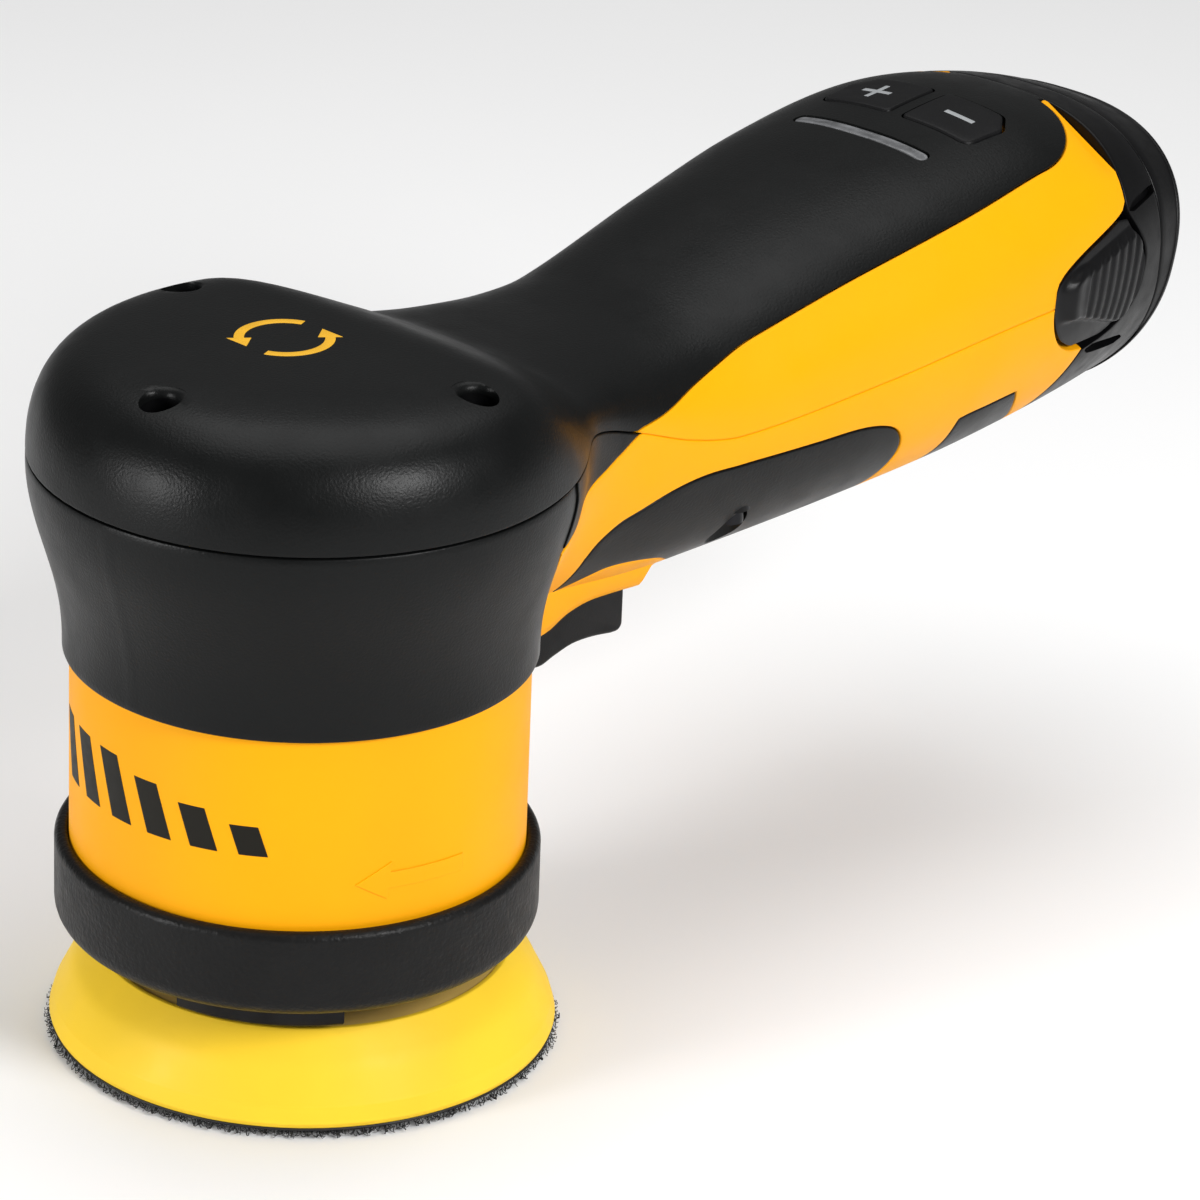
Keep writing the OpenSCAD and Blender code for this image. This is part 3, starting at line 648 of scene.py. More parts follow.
def patch(surface, outline, thick, lip, pitch, scale=FLAT_MM, holes=(), step=0.5):
    """Closed piece of skin: outline and holes are (place, angle) points, scale is mm per unit of angle."""
    loops = [resample([(s, a * scale) for s, a in line], step) for line in (outline, *holes)]
    edge = kdtree.KDTree(sum(len(loop) for loop in loops))
    count = 0
    for loop in loops:
        for p in loop:
            edge.insert(p.to_3d(), count)
            count += 1
    edge.balance()
    points = [p for loop in loops for p in loop]
    edges = []
    start = 0
    for loop in loops:
        edges += [(start + i, start + (i + 1) % len(loop)) for i in range(len(loop))]
        start += len(loop)
    extra = []
    for loop in loops:
        for i, p in enumerate(loop):
            t = (loop[(i + 1) % len(loop)] - loop[i - 1]).normalized()
            for off in (0.25 * lip, 0.6 * lip, lip):
                extra += [p + Vector((-t.y, t.x)) * off, p - Vector((-t.y, t.x)) * off]
    kept = [p for p in extra if edge.find(p.to_3d())[2] > 0.2 * lip]
    low = [min(p[k] for p in loops[0]) for k in (0, 1)]
    high = [max(p[k] for p in loops[0]) for k in (0, 1)]
    field = [Vector((x, y + (pitch / 2) * (i % 2)))
             for i, x in enumerate(np.arange(low[0], high[0], pitch * 0.87))
             for y in np.arange(low[1] - pitch, high[1] + pitch, pitch)]
    field = [p for p in field if edge.find(p.to_3d())[2] > lip + 0.45]
    candidates = kept + field
    xy = np.array([(p.x, p.y) for p in candidates])
    ok = inside(xy, loops[0])
    for hole in loops[1:]:
        ok &= ~inside(xy, hole)
    points += [p for p, keep in zip(candidates, ok) if keep]
    flat, _, tris, *_ = geometry.delaunay_2d_cdt(points, edges, [], 0, 1e-5)
    middle = np.array([tuple(sum((flat[i] for i in t), Vector((0, 0))) / 3) for t in tris])
    ok = inside(middle, loops[0])
    for hole in loops[1:]:
        ok &= ~inside(middle, hole)
    big = [abs((flat[t[1]] - flat[t[0]]).cross(flat[t[2]] - flat[t[0]])) > TINY_AREA
           or max(edge.find(flat[i].to_3d())[2] for i in t) > ON_EDGE for t in tris]
    tris = [tuple(t) for t, keep, wide in zip(tris, ok, big) if keep and wide]
    depth = [rounding(edge.find(p.to_3d())[2], lip) for p in flat]
    k = len(flat)
    solid = [surface(p.x, p.y / scale, d) for p, d in zip(flat, depth)]
    solid += [surface(p.x, p.y / scale, thick) for p in flat]
    faces = tris + [tuple(i + k for i in t[::-1]) for t in tris]
    sides = dict.fromkeys((a, b) for t in tris for a, b in zip(t, t[1:] + t[:1]))
    faces += [(b, a, a + k, b + k) for a, b in sides if (b, a) not in sides]
    return loose_free(solid, faces)


def join(*parts):
    points, faces = [], []
    for p, f in parts:
        faces += [tuple(i + len(points) for i in face) for face in f]
        points += p
    return points, faces


def loose_free(points, faces):
    """Drops the points that no face uses."""
    used = sorted({i for f in faces for i in f})
    place = {old: new for new, old in enumerate(used)}
    return [points[i] for i in used], [tuple(place[i] for i in f) for f in faces]


# ---- camera, floor and lights ----
CAMERA_AT = (-567.4, -534.7, 416.3)
CAMERA_BEARING = 49.91
CAMERA_DOWN = 23.74
CAMERA_ROLL = 2.33
CAMERA_LENS = 174
WORLD_LIGHT = 0.16


def make_camera():
    data = bpy.data.cameras.new("studio_camera")
    data.sensor_width = 36
    data.lens = CAMERA_LENS
    data.clip_start = 0.01
    data.clip_end = 20
    cam = add_object("studio_camera", data)
    turn = Matrix.Rotation(math.radians(-CAMERA_BEARING), 4, "Z")
    tilt = Matrix.Rotation(math.radians(90 - CAMERA_DOWN), 4, "X")
    roll = Matrix.Rotation(math.radians(CAMERA_ROLL), 4, "Z")
    cam.matrix_world = Matrix.Translation(Vector(CAMERA_AT) * MM) @ turn @ tilt @ roll
    bpy.context.scene.camera = cam


def make_stage():
    size, rows = 6, 24
    points = [((-0.5 + i / rows) * size / MM, (-0.5 + j / rows) * size / MM, 0)
              for i in range(rows + 1) for j in range(rows + 1)]
    floor = add_mesh("floor", points, grid_faces(rows + 1, rows + 1), "floor")
    world = bpy.data.worlds.new("studio")
    world.use_nodes = True
    world.node_tree.nodes["Background"].inputs["Color"].default_value = (1, 1, 1, 1)
    world.node_tree.nodes["Background"].inputs["Strength"].default_value = WORLD_LIGHT
    bpy.context.scene.world = world
    bpy.context.scene.view_settings.view_transform = "Standard"


def make_lamp(name, place, target, size, watts):
    data = bpy.data.lights.new(name, "AREA")
    data.shape = "RECTANGLE"
    data.size, data.size_y = size
    data.energy = watts
    lamp = add_object(name, data)
    lamp.location = place
    lamp.rotation_euler = (Vector(target) - Vector(place)).to_track_quat("-Z", "Y").to_euler()


# ---- pad and hooks ----
def make_pad():
    top = PAD_Z1
    profile = bend([(4, PAD_Z0), (PAD_R - 0.3, PAD_Z0), (PAD_R, PAD_Z0 + 0.8), (PAD_R - 0.7, PAD_Z0 + 3.2),
                    (PAD_TOP_R + 3.6, top - 4.4), (PAD_TOP_R, top), (PAD_TOP_R - 0.8, top),
                    (PAD_TOP_R - 1, top - 1.2), (11, top - 1.6), (10, top - 7), (4, top - 7)],
                   [0, 0.25, 0.35, 1.6, 12, 0.35, 0.3, 0.8, 1, 0.4, 0], 6)
    at = (PAD_X, PAD_Y)
    piece("backing_pad_foam", lathe(profile, FINE, at), "pad", "pad_foam", "backing_pad")
    hub = bend([(10.4, top - 1.2), (PAD_TOP_R - 1.4, top - 1), (PAD_TOP_R - 1.6, top - 0.5),
                (20, top - 0.35), (12, top - 0.2), (10.4, top - 0.4)], [0, 0.1, 0.15, 0.4, 0.4, 0.1], 3)
    # The top plate takes the pad_core look, whose tan is the pad yellow darkened as painted shade
    piece("pad_top_plate", lathe(hub, 160, at), "pad", "pad_core")


def make_counterweight():
    """Blackened balance weight opposite the pad spindle: a hub and a heavy outer segment."""
    hub = lathe(bend([(4.6, 18.4), (9.6, 18.4), (9.6, 24.4), (4.6, 24.4)], [0.2, 0.5, 0.5, 0.2], 3), 96)
    middle = math.degrees(ORBIT_ANGLE) + 180
    outline = [polar(WEIGHT_R, middle + a) for a in spread(-26, 26, 40)]
    outline += [polar(9, middle + a) for a in (52, -52)]
    centre = Vector(polar(WEIGHT_R * 0.6, middle))
    bevel, low, high = 0.5, 16.3, 24.4
    rings = []
    for z, inset in ((low, bevel), (low + 0.15, 0.2), (low + bevel, 0), (high - bevel, 0),
                     (high - 0.15, 0.2), (high, bevel)):
        ring = [Vector(p) - (Vector(p) - centre).normalized() * inset for p in outline]
        rings.append([(q.x, q.y, z) for q in ring])
    segment = tube(rings, (centre.x, centre.y, low), (centre.x, centre.y, high))
    piece("balance_weight", join(hub, segment), "rotor", "dark_steel", "counterweight")


def make_hooks():
    """Cloth of the facing with its nylon hooks: short curls, thick at the rim and sparse below."""
    rim = PAD_R + 0.15
    profile = bend([(4.2, 1.15), (rim - 0.45, 1.15), (rim - 0.3, 1.35), (rim - 0.4, PAD_Z0), (4.2, PAD_Z0)],
                   [0, 0.1, 0.1, 0.1, 0], 2)
    draw = random.Random(HOOK_SEED)
    parts = [lathe(profile, 160, (PAD_X, PAD_Y))]
    limit = PAD_R + HOOK_REACH
    for k in range(HOOK_COUNT):
        at_rim = k % 3 < 2
        r0 = rim - draw.uniform(0, 0.9) if at_rim else rim - draw.uniform(0.5, 7)
        a = 2 * math.pi * (k + draw.random()) / HOOK_COUNT * HOOK_TURNS
        curl = draw.uniform(110, 230)
        size = draw.uniform(0.3, 0.62)
        face = a + draw.uniform(-1.9, 1.9)
        lift = draw.uniform(0, 25)
        wire = draw.uniform(0.055, 0.085)
        out = Vector((math.cos(face), math.sin(face), 0))
        root = Vector((PAD_X + r0 * math.cos(a), PAD_Y + r0 * math.sin(a), HOOK_ROOT))
        line = []
        for t in (j / HOOK_POINTS for j in range(HOOK_POINTS + 1)):
            turn = math.radians(lift + curl * t)
            drop = Vector((0, 0, -0.45 * t - size * math.sin(turn)))
            line.append(root + out * (size * (1 - math.cos(turn))) + drop)
        for p in line:
            p.z = max(0.07, p.z)
            away = Vector((p.x - PAD_X, p.y - PAD_Y, 0))
            if away.length > limit:
                p.x, p.y = PAD_X + away.x * limit / away.length, PAD_Y + away.y * limit / away.length
        parts.append(wire_tube(line, wire, 3))
    piece("hook_facing_cloth", join(*parts), "pad", "hook_fabric", "hook_facing")


def wire_tube(line, r, sides):
    """Closed round tube along a few points."""
    rings = []
    for i, p in enumerate(line):
        t = (line[min(i + 1, len(line) - 1)] - line[max(i - 1, 0)])
        t = t.normalized() if t.length > 1e-6 else Vector((0, 0, 1))
        u = t.orthogonal().normalized()
        v = t.cross(u)
        turns = [2 * math.pi * k / sides for k in range(sides)]
        rings.append([tuple(p + r * (math.cos(a) * u + math.sin(a) * v)) for a in turns])
    return tube(rings, tuple(line[0]), tuple(line[-1]))


# ---- head ----
def make_head():
    ring = bend([(31.4, RING_Z), (RING_R, RING_Z), (RING_R, RING_Z + 13.9),
                 (SLEEVE_R + 0.15, RING_Z + 13.8),
                 (SLEEVE_R + 0.1, 29.9), (31.4, 29.9)], [0.6, 3.2, 1.3, 0.6, 0, 0], 8)
    piece("bumper_ring_moulding", lathe(ring, FINE), "housing", "bumper_rubber", "bumper_ring")

    band = bend([(31.4, 30), (SLEEVE_R, 30), (SLEEVE_R, SKIRT_Z - 0.1), (33.2, SKIRT_Z - 0.1),
                 (33.2, SKIRT_Z + 6), (31.4, SKIRT_Z + 6)], [0, 0, 0.25, 0, 0, 0], 4)
    piece("motor_sleeve_moulding", lathe(band, FINE), "housing", "yellow_plastic", "motor_sleeve")

    seat = DOME_Z - 0.2
    outer = [(skirt_radius(z), z) for z in spread(SKIRT_Z + 0.35, seat - 0.35, 34)]
    profile = [(33.3, SKIRT_Z), (SKIRT_R - 0.4, SKIRT_Z), (SKIRT_R - 0.1, SKIRT_Z + 0.1)] + outer
    profile += [(DOME_R - 0.12, seat - 0.1), (DOME_R - 0.45, seat), (DOME_R - 2.6, seat), (33.3, 76)]
    points, faces = lathe(profile, FINE)
    mould_line = [0.09 * math.exp(-((math.degrees(math.atan2(p[1], -p[0])) / 0.55) ** 2)) for p in points]
    points = [(p[0] - rise, p[1], p[2]) if SKIRT_Z + 0.3 < p[2] < seat - 0.3 else p
              for p, rise in zip(points, mould_line)]
    piece("head_skirt_moulding", (points, faces), "housing", "soft_black", "head_skirt",
          cutters=[box_cutter((20, -11, 70), (50, 11, 90))])


def box_cutter(low, high):
    points = [(x, y, z) for x in (low[0], high[0]) for y in (low[1], high[1]) for z in (low[2], high[2])]
    return points, [(0, 1, 3, 2), (4, 6, 7, 5), (0, 4, 5, 1), (2, 3, 7, 6), (0, 2, 6, 4), (1, 5, 7, 3)]


def on_band(angle, z, proud):
    return (*polar(SLEEVE_R + proud, angle), z)


def band_patch(outline, proud, lip, pitch):
    """Raised or printed shape on the motor sleeve: outline in (bearing in degrees, height)."""
    mm_per_degree = math.pi * SLEEVE_R / 180
    flat = [(a * mm_per_degree, z) for a, z in outline]
    return patch(lambda x, z, d: on_band(x / mm_per_degree, z, proud * (1 - min(1, d))), flat, 1.0, lip,
                 pitch, 1, (), 0.6)


def make_band_marks():
    """Plain slanted bars printed on the band, and a moulded arrow that shows which way the pad turns."""
    bars = []
    width, slant, first, low, spacing = 7.2, 5.5, 146, 46.6, 12.6
    for k, tall in enumerate((10, 10, 10, 8.2, 6.4, 4.6)):
        a, lean_by = first + spacing * k, slant * tall / 10
        bars.append(band_patch([(a, low), (a + width, low), (a + width - lean_by, low + tall),
                                (a - lean_by, low + tall)], 0.05, 0.02, 1.2))
    piece("band_stripes", join(*bars), "housing", "soft_black", look="dark_print")
    arrow = [(237.5, 42), (245.6, 39.2), (245.8, 40.9), (267.6, 40.6), (267.6, 43.2), (246.4, 43.4),
             (246.6, 45)]
    piece("turn_arrow", band_patch(arrow, 0.22, 0.15, 0.8), "housing", "yellow_plastic")


# ---- upper half ----
def upper_places(step):
    """Rows of the upper half: bearings round the dome, then places along the handle."""
    front = [-90 + 90 * math.sin(math.radians(a)) for a in spread(0, 87, 30)]
    crown = [CROWN_AT + CROWN_R * math.sin(a) for a in spread(0, math.asin(CROWN_REACH / CROWN_R), 16)]
    return front + [0] + list(np.arange(step, CROWN_AT, step)) + crown


def make_upper_grip():
    inset = [0, 0.12, 0.3, 0.55, 0.9, 1.5, 2.4]
    lip, front_lip = 0.42, 0.3
    bare = 46  # from here on the edge stands clear of the seam
    rows_out, rows_in = [], []
    places = [s for s in upper_places(1.5) if s < GRIP_REAR - 0.6]
    for s in places + [GRIP_REAR - x for x in (0.42, 0.2, 0.08, 0)]:
        edge = max(0, grip_edge(s) if s > 0 else 0) + (0.25 if s > bare else 0)
        angles = [edge + x for x in inset] + spread(edge + 3.6, 90, 36)
        angles += [180 - a for a in angles[-2::-1]]
        tail = rounding(GRIP_REAR - s, lip)
        edge_lip = lip if s > bare else front_lip
        depth = [max(tail, rounding((from_seam(a) - edge) * SEAM_MM, edge_lip)) for a in angles]
        rows_out.append([upper(s, a, d) for a, d in zip(angles, depth)])
        rows_in.append([upper(s, a, GRIP_T) for a in angles])
    mouth = dome_height(DOME_SCREW_R / DOME_R, 0)
    cutters = [well(*polar(DOME_SCREW_R, b), 95, mouth + 0.55, 2.9, 1.25, mouth + 6) for b in DOME_SCREWS]
    cutters += windows(0.3, 0.28, 3)
    piece("upper_grip_overmould", skin(rows_out, rows_in, front=False), "housing", "soft_black",
          "upper_grip", cutters=cutters)


def prism(outline, z0, z1):
    """Upright closed prism over an outline of (x, y) points."""
    n = len(outline)
    points = [(x, y, z) for z in (z0, z1) for x, y in outline]
    return points, [tuple(range(n)), tuple(range(n, 2 * n))] + [(k, (k + 1) % n, (k + 1) % n + n, k + n)
                                                                for k in range(n)]


def window(outline, deep):
    """Cutter through the upper skin from an outline of (place, y) points down to a depth."""
    skin_points = [upper(s, angle_at(s, y)) for s, y in outline]
    floor_z = min(p[2] for p in skin_points) - deep
    return prism([(p[0], p[1]) for p in skin_points], floor_z, 125)


def button_outline(side, grow):
    """Key outline in (place, y): rounded corners, and the outer rear corner cut off."""
    half = BUTTON_L / 2 / 1.17 + grow
    y0, y1 = BUTTON_Y - grow, BUTTON_Y + BUTTON_W + grow
    s0, s1 = BUTTON_S - half, BUTTON_S + half
    corners = [(s0, y0), (s0, y1 - 0.6), (s1 - 3.4, y1), (s1, y1 - 3), (s1, y0)]
    line = bend(corners, [0.9 + grow, 1.8 + grow, 1.6 + grow, 1.6 + grow, 0.9 + grow], 6)
    return line if side > 0 else [(s, -y) for s, y in line[::-1]]


def light_outline(grow):
    half = 1.05 + grow
    ends = LIGHT_HALF + grow
    corners = [(LIGHT_S - half, -ends), (LIGHT_S + half, -ends), (LIGHT_S + half, ends),
               (LIGHT_S - half, ends)]
    return bend(corners, [half * 0.98] * 4, 6)


def windows(key_gap, light_gap, deep):
    """Cutters for both keys and the light bar."""
    outlines = [button_outline(-1, key_gap), button_outline(1, key_gap), light_outline(light_gap)]
    return [window(outline, deep) for outline in outlines]


def make_upper_shell():
    lip, seam_lip, gap = 0.3, 0.22, 0.12
    near = [0, 0.12, 0.3, 0.6, 1.1, 2, 4, 6, 8, 9.5, 11, 12.5, 14, 15.5, 17, 18.5, 20, 21.5, 23, 26, 30, 34,
            38]
    rows_out, rows_in = [], []
    # Rows at fixed places, then at shares of the way to the end line, then at distances from it
    rows = [("place", s) for s in upper_places(1.5) if s < FIT_AT]
    rows += [("share", f) for f in spread(0.02, 0.965, 22)]
    rows += [("end", x) for x in (0.55, 0.32, 0.18, 0.08, 0.0)]
    for kind, value in rows:
        def place(end):
            if kind == "place":
                return value
            return mix(FIT_AT, end, value) if kind == "share" else end - value
        middle = place(SHELL_END)
        edge = grip_edge(middle) if middle > 0 else 0
        if middle > GRIP_REAR - 0.5:
            edge = TOP_EDGE
        side = [min(x, max(0, edge - 1)) for x in near]
        side += [max(0, edge + (x - gap) / SEAM_MM) for x in (-0.9, -0.55, -0.34, -0.2, -0.08, 0.0, 0.02)]
        angles = sorted(side) + spread(max(edge, 0) + 1.5, 90, 20)
        angles += [180 - a for a in angles[-2::-1]]
        row, back = [], []
        for a in angles:
            end = end_line(a, True)
            s = place(end)
            past = (from_seam(a) - edge) * SEAM_MM + gap
            tail = rounding(end - s, lip) if s > 130 else 0
            d = max(tail, rounding(-past, lip), rounding(from_seam(a) * SEAM_MM, seam_lip))
            row.append(upper(s, a, SUNK if past > 0.001 else d))
            back.append(upper(s, a, WALL))
        rows_out.append(row)
        rows_in.append(back)
    cutters = [lathe([(0.001, 88), (3.95, 88), (3.95, 120), (0.001, 120)], 32, polar(DOME_SCREW_R, b))
               for b in DOME_SCREWS]
    cutters += windows(0.5, 0.4, 6)
    piece("upper_shell_moulding", skin(rows_out, rows_in, front=False), "housing", "yellow_plastic",
          "upper_shell", cutters=cutters)
    bosses = []
    for b in DOME_SCREWS:
        points, faces = lathe([(1.6, 92), (3.9, 92), (3.9, 110.6), (2.95, 110.6), (2.95, 104.5),
                               (1.6, 104.5)], 40, polar(DOME_SCREW_R, b))
        # Their tops slope with the dome
        crown = [0.26 * (DOME_SCREW_R - math.hypot(p[0], p[1])) if p[2] > 110 else 0 for p in points]
        bosses.append(([(p[0], p[1], p[2] + rise) for p, rise in zip(points, crown)], faces))
    piece("dome_screw_bosses", join(*bosses), "housing", "black_plastic")


# ---- lower half ----
FRONT_EDGE = [(46.2, 0), (44.6, 2), (43.2, 4), (41.8, 6), (38, 10.6), (35, 13.2), (31.5, 15.8), (27, 18.5)]
INSERT_TOP = [(41, 40), (42, 34), (45, 28), (49, 23.6), (55, 16.9), (60, 13.1), (65, 11), (71, 10.6),
              (78, 11.2),
              (87, 12.4), (95, 13.6), (100.5, 16), (104.5, 20), (107, 26), (108.2, 33), (108.6, 44)]
INSERT_LENS = [(68.5, 62), (65, 55), (62, 50.6), (58, 48), (53.5, 47), (49, 48), (46, 51.5), (43, 56),
               (40.6, 60)]
REAR_INSERT = [(122.8, 60), (122.2, 44), (121, 30), (121.8, 28), (128, 27.4), (134.5, 27), (135.6, 28),
               (140, 38.5), (144.4, 48), (144.6, 52), (140, 66)]


def lower_skin(s, a, d):
    p = lower(s, a, d)
    upright = ease((from_seam(a) - 30) / 20) * ease((68 - s) / 3)
    return (p[0], mix(p[1], lower(s, a)[1], upright), p[2])


def mirrored(line):
    return [(s, 180 - a) for s, a in line[::-1]]


def slot_angle(s, half):
    return math.degrees(math.acos(min(1, half / half_width(s, 0))))


def lower_outline():
    """Round the yellow lower shell: past the skirt, round the trigger slot, then both rear notches."""
    half = TRIGGER_W / 2 + 0.5
    front = smooth_line(FRONT_EDGE)
    start = FRONT_EDGE[-1][1]
    last = slot_angle(meet(64), half)
    skirt = [(meet(a), a) for a in spread(start + 1.5, last, 24)]
    front = [p for p in front if p[0] > meet(p[1]) + 0.4]
    slot = [(s, slot_angle(s, half)) for s in spread(skirt[-1][0] + 0.6, 63.4, 26)]
    near = front + skirt + slot
    rear = [(end_line(a, False), a) for a in spread(0, 180, 150)]
    return near + mirrored(near) + [(s, 180) for s in spread(47, LATCH_FRONT - 0.5, 60)] + rear[::-1] \
        + [(s, 0) for s in spread(LATCH_FRONT - 0.5, 47, 60)]


def shifted(line, gap, scale=FLAT_MM):
    """A closed line moved outwards by gap millimetres."""
    flat = [Vector((s, a * scale)) for s, a in line]
    area = sum(p.x * q.y - q.x * p.y for p, q in zip(flat, flat[1:] + flat[:1]))
    side = 1 if area > 0 else -1
    out = []
    for i, p in enumerate(flat):
        t = (flat[(i + 1) % len(flat)] - flat[i - 1]).normalized()
        q = p + Vector((t.y, -t.x)) * gap * side
        out.append((q.x, q.y / scale))
    return out


def insert_outline():
    top = smooth_line(INSERT_TOP)
    lens = smooth_line(INSERT_LENS)
    across = [(108.6, a) for a in spread(48, 132, 30)]
    back = [(68.8, a) for a in spread(116, 64, 20)]
    return top + across + mirrored(top) + mirrored(lens) + back + lens


def rear_outline():
    line = smooth_line(REAR_INSERT)
    front = [(122.8, a) for a in spread(118, 62, 20)]
    back = [(140 - 1.5 * math.sin(math.radians((a - 66) / 48 * 180)), a) for a in spread(68, 112, 20)]
    return line + back + mirrored(line) + front


def make_lower():
    insert, rear = insert_outline(), rear_outline()
    holes = (shifted(insert, JOINT_GAP), shifted(rear, JOINT_GAP))
    shell = patch(lower_skin, lower_outline(), WALL, 0.28, 1.5, FLAT_MM, holes)
    piece("lower_shell_moulding", join(shell, *trigger_rim()), "housing", "yellow_plastic", "lower_shell")

    front = [p for p in smooth_line(FRONT_EDGE) if p[0] > meet(p[1]) + 0.1]
    corner = [(meet(a), a) for a in spread(front[-1][1], 0.4, 12)]
    flap = front + corner + [(s, 0) for s in spread(corner[-1][0] + 0.4, 45.6, 16)]
    flap = shifted(flap, -JOINT_GAP)
    parts = [patch(lower_skin, line, 1.6, 0.25, 1.2) for line in (flap, mirrored(flap))]
    parts += [patch(lower_skin, line, 1.6, 0.4, 1.5) for line in (insert, rear)]
    holes, liner = [], []
    for side in (-1, 1):
        at = (SCREW_X, side * SCREW_Y)
        skin_z = lower(SCREW_X, slot_angle(SCREW_X, SCREW_Y))[2]
        holes.append(lathe([(0.001, 50), (3.6, 50), (3.6, skin_z - 1.6), (2.9, skin_z + 0.6), (2.75, 80),
                            (0.001, 80)], 40, at))
        liner.append(lathe([(2.4, 71.2), (3.4, 71.2), (3.4, 78), (1.3, 78), (1.3, 73.5), (2.4, 73.5)], 32,
                           at))
    piece("lower_grip_overmould", join(*parts), "housing", "soft_black", "lower_grip", cutters=holes)
    piece("handle_screw_bosses", join(*liner), "housing", "black_plastic")


def trigger_rim():
    """Rim of the trigger slot: it stands down from the shell on both sides and ends in a blunt nose."""
    heights = [(36, 56), (43, 56.7), (47, 58.2), (52, 58.9), (58, 58.6), (64, 58)]
    half = TRIGGER_W / 2 + 0.45
    parts = []
    for side in (-1, 1):
        rings = []
        for s in spread(meet(62) - 0.2, 64.2, 26):
            top = lower(s, slot_angle(s, half + 3.4), 0.02)
            high = lower(s, slot_angle(s, half), 1.5)
            z = track(heights, 1, s)
            row = [(s, top[1], top[2]), (s, -half - 1.6, mix(top[2], z, 0.72)), (s, -half - 0.9, z + 0.3),
                   (s, -half - 0.45, z), (s, -half, z + 0.25), (s, -half, high[2]),
                   (s, top[1], top[2] + 1.4)]
            rings.append([(x, -side * y, zz) for x, y, zz in row])
        parts.append(tube(rings, rings[0][3], rings[-1][3]))
    rings = []
    for s, z in [(63.1, 58.6), (63.4, 58.15), (64.4, 58), (65, 58.15), (67, 59.3), (69.4, 61.6)]:
        side_z = lower(s, slot_angle(s, half + 3.4), 0.02)[2]
        row = []
        for f in spread(-1, 1, 16):
            y = (half + 3.4) * f
            drop = ease((1 - abs(f)) / 0.34)
            row.append((s, y, mix(side_z, min(z, side_z), drop)))
        row += [(s, (half + 3.4) * f, side_z + 2.2) for f in (1, 0.5, 0, -0.5, -1)]
        rings.append(row)
    parts.append(tube(rings, (rings[0][8][0], 0, 60.5), (rings[-1][8][0], 0, 62.5)))
    return parts


# ---- trigger, keys and lamp ----
def make_trigger():
    """Trigger lever: finger curve below, rounded over both sides."""
    z = TRIGGER_Z
    curve = smooth_line([(37.2, 58), (38, 54.6), (40.4, 51.4), (43.2, z - 0.25), (46.6, z + 0.5),
                         (50.8, z + 1.2), (55.5, z + 0.95), (60.2, z + 0.15)], 7)
    corner = bend([(60.2, z + 0.15), (TRIGGER_X1, z + 0.1), (TRIGGER_X1, 60)], [0, 1.5, 0], 8)[1:-1]
    outline = curve[:-1] + corner + [(TRIGGER_X1, z + 5), (TRIGGER_X1, 61), (TRIGGER_X1 - 1, 62), (44, 62),
                                     (38, 61.6)]
    loop = resample(outline, 0.7)
    half = TRIGGER_W / 2
    lip = 0.9
    edge = [half - lip * (1 - math.cos(a)) for a in spread(math.pi / 2, 0, 6)]
    rings = [(y, rounding(half - y, lip)) for y in edge]
    rows = [(-y, d) for y, d in rings[::-1]] + rings
    grid = []
    for y, d in rows:
        ring = []
        for i, p in enumerate(loop):
            t = (loop[(i + 1) % len(loop)] - loop[i - 1]).normalized()
            q = p + Vector((-t.y, t.x)) * d
            ring.append((q.x, y, q.y))
        grid.append(ring)
    axle = [Vector((PIVOT_X, y, 61)) for y in spread(-9.3, 9.3, 8)]
    piece("trigger_pivot_pin", wire_tube(axle, 1.45, 32), "housing", "steel", "trigger_pin")
    x, z = 50, 57
    piece("trigger_paddle", tube(grid, (x, -half, z), (x, half, z)), "trigger", "black_plastic",
          "trigger_lever")


def key_surface(side):
    """Dished top of a key, as a surface of (place, y, depth)."""
    middle = side * (BUTTON_Y + BUTTON_W / 2)

    def surface(s, y, d):
        p = upper(s, angle_at(s, y))
        dish = 0.22 * max(0, 1 - ((s - BUTTON_S) / 4.6) ** 2) * max(0, 1 - ((y - middle) / 6.4) ** 2)
        return (p[0] - lean(s) * d, p[1], p[2] + 0.28 - dish - d)
    return surface


def mark_outline(name, y):
    """Outline of a plus or minus in (place, y), with its middle at y."""
    t, a = 0.42, 2.7
    if name == "plus":
        tip = a * 0.9
        line = [(-t, -a), (t, -a), (t, -t), (tip, -t), (tip, t), (t, t), (t, a), (-t, a), (-t, t),
                (-tip, t), (-tip, -t), (-t, -t)]
    else:
        long = a * 1.05
        line = [(-t, -long), (t, -long), (t, long), (-t, long)]
    return [(BUTTON_S + s, y + v) for s, v in line]


def make_keys():
    for side, name in ((1, "plus"), (-1, "minus")):
        button = name + "_button"
        surface = key_surface(side)
        piece(name + "_key", patch(surface, button_outline(side, 0), 4.2, 0.45, 1, 1), button,
              "button_rubber", button)
        mark = patch(lambda s, v, d: surface(s, v, d - 0.06),
                     mark_outline(name, side * (BUTTON_Y + BUTTON_W / 2)), 0.3, 0.04, 0.6, 1, (), 0.3)
        piece(name + "_mark", mark, button, "light_lens", look="key_mark")


def make_light():
    def surface(s, y, d):
        p = upper(s, angle_at(s, y))
        return (p[0], p[1], p[2] - 0.12 - d)
    piece("light_bar_lens", patch(surface, light_outline(0), 2.2, 0.3, 0.8, 1, (), 0.35), "housing",
          "light_lens", "light_bar")


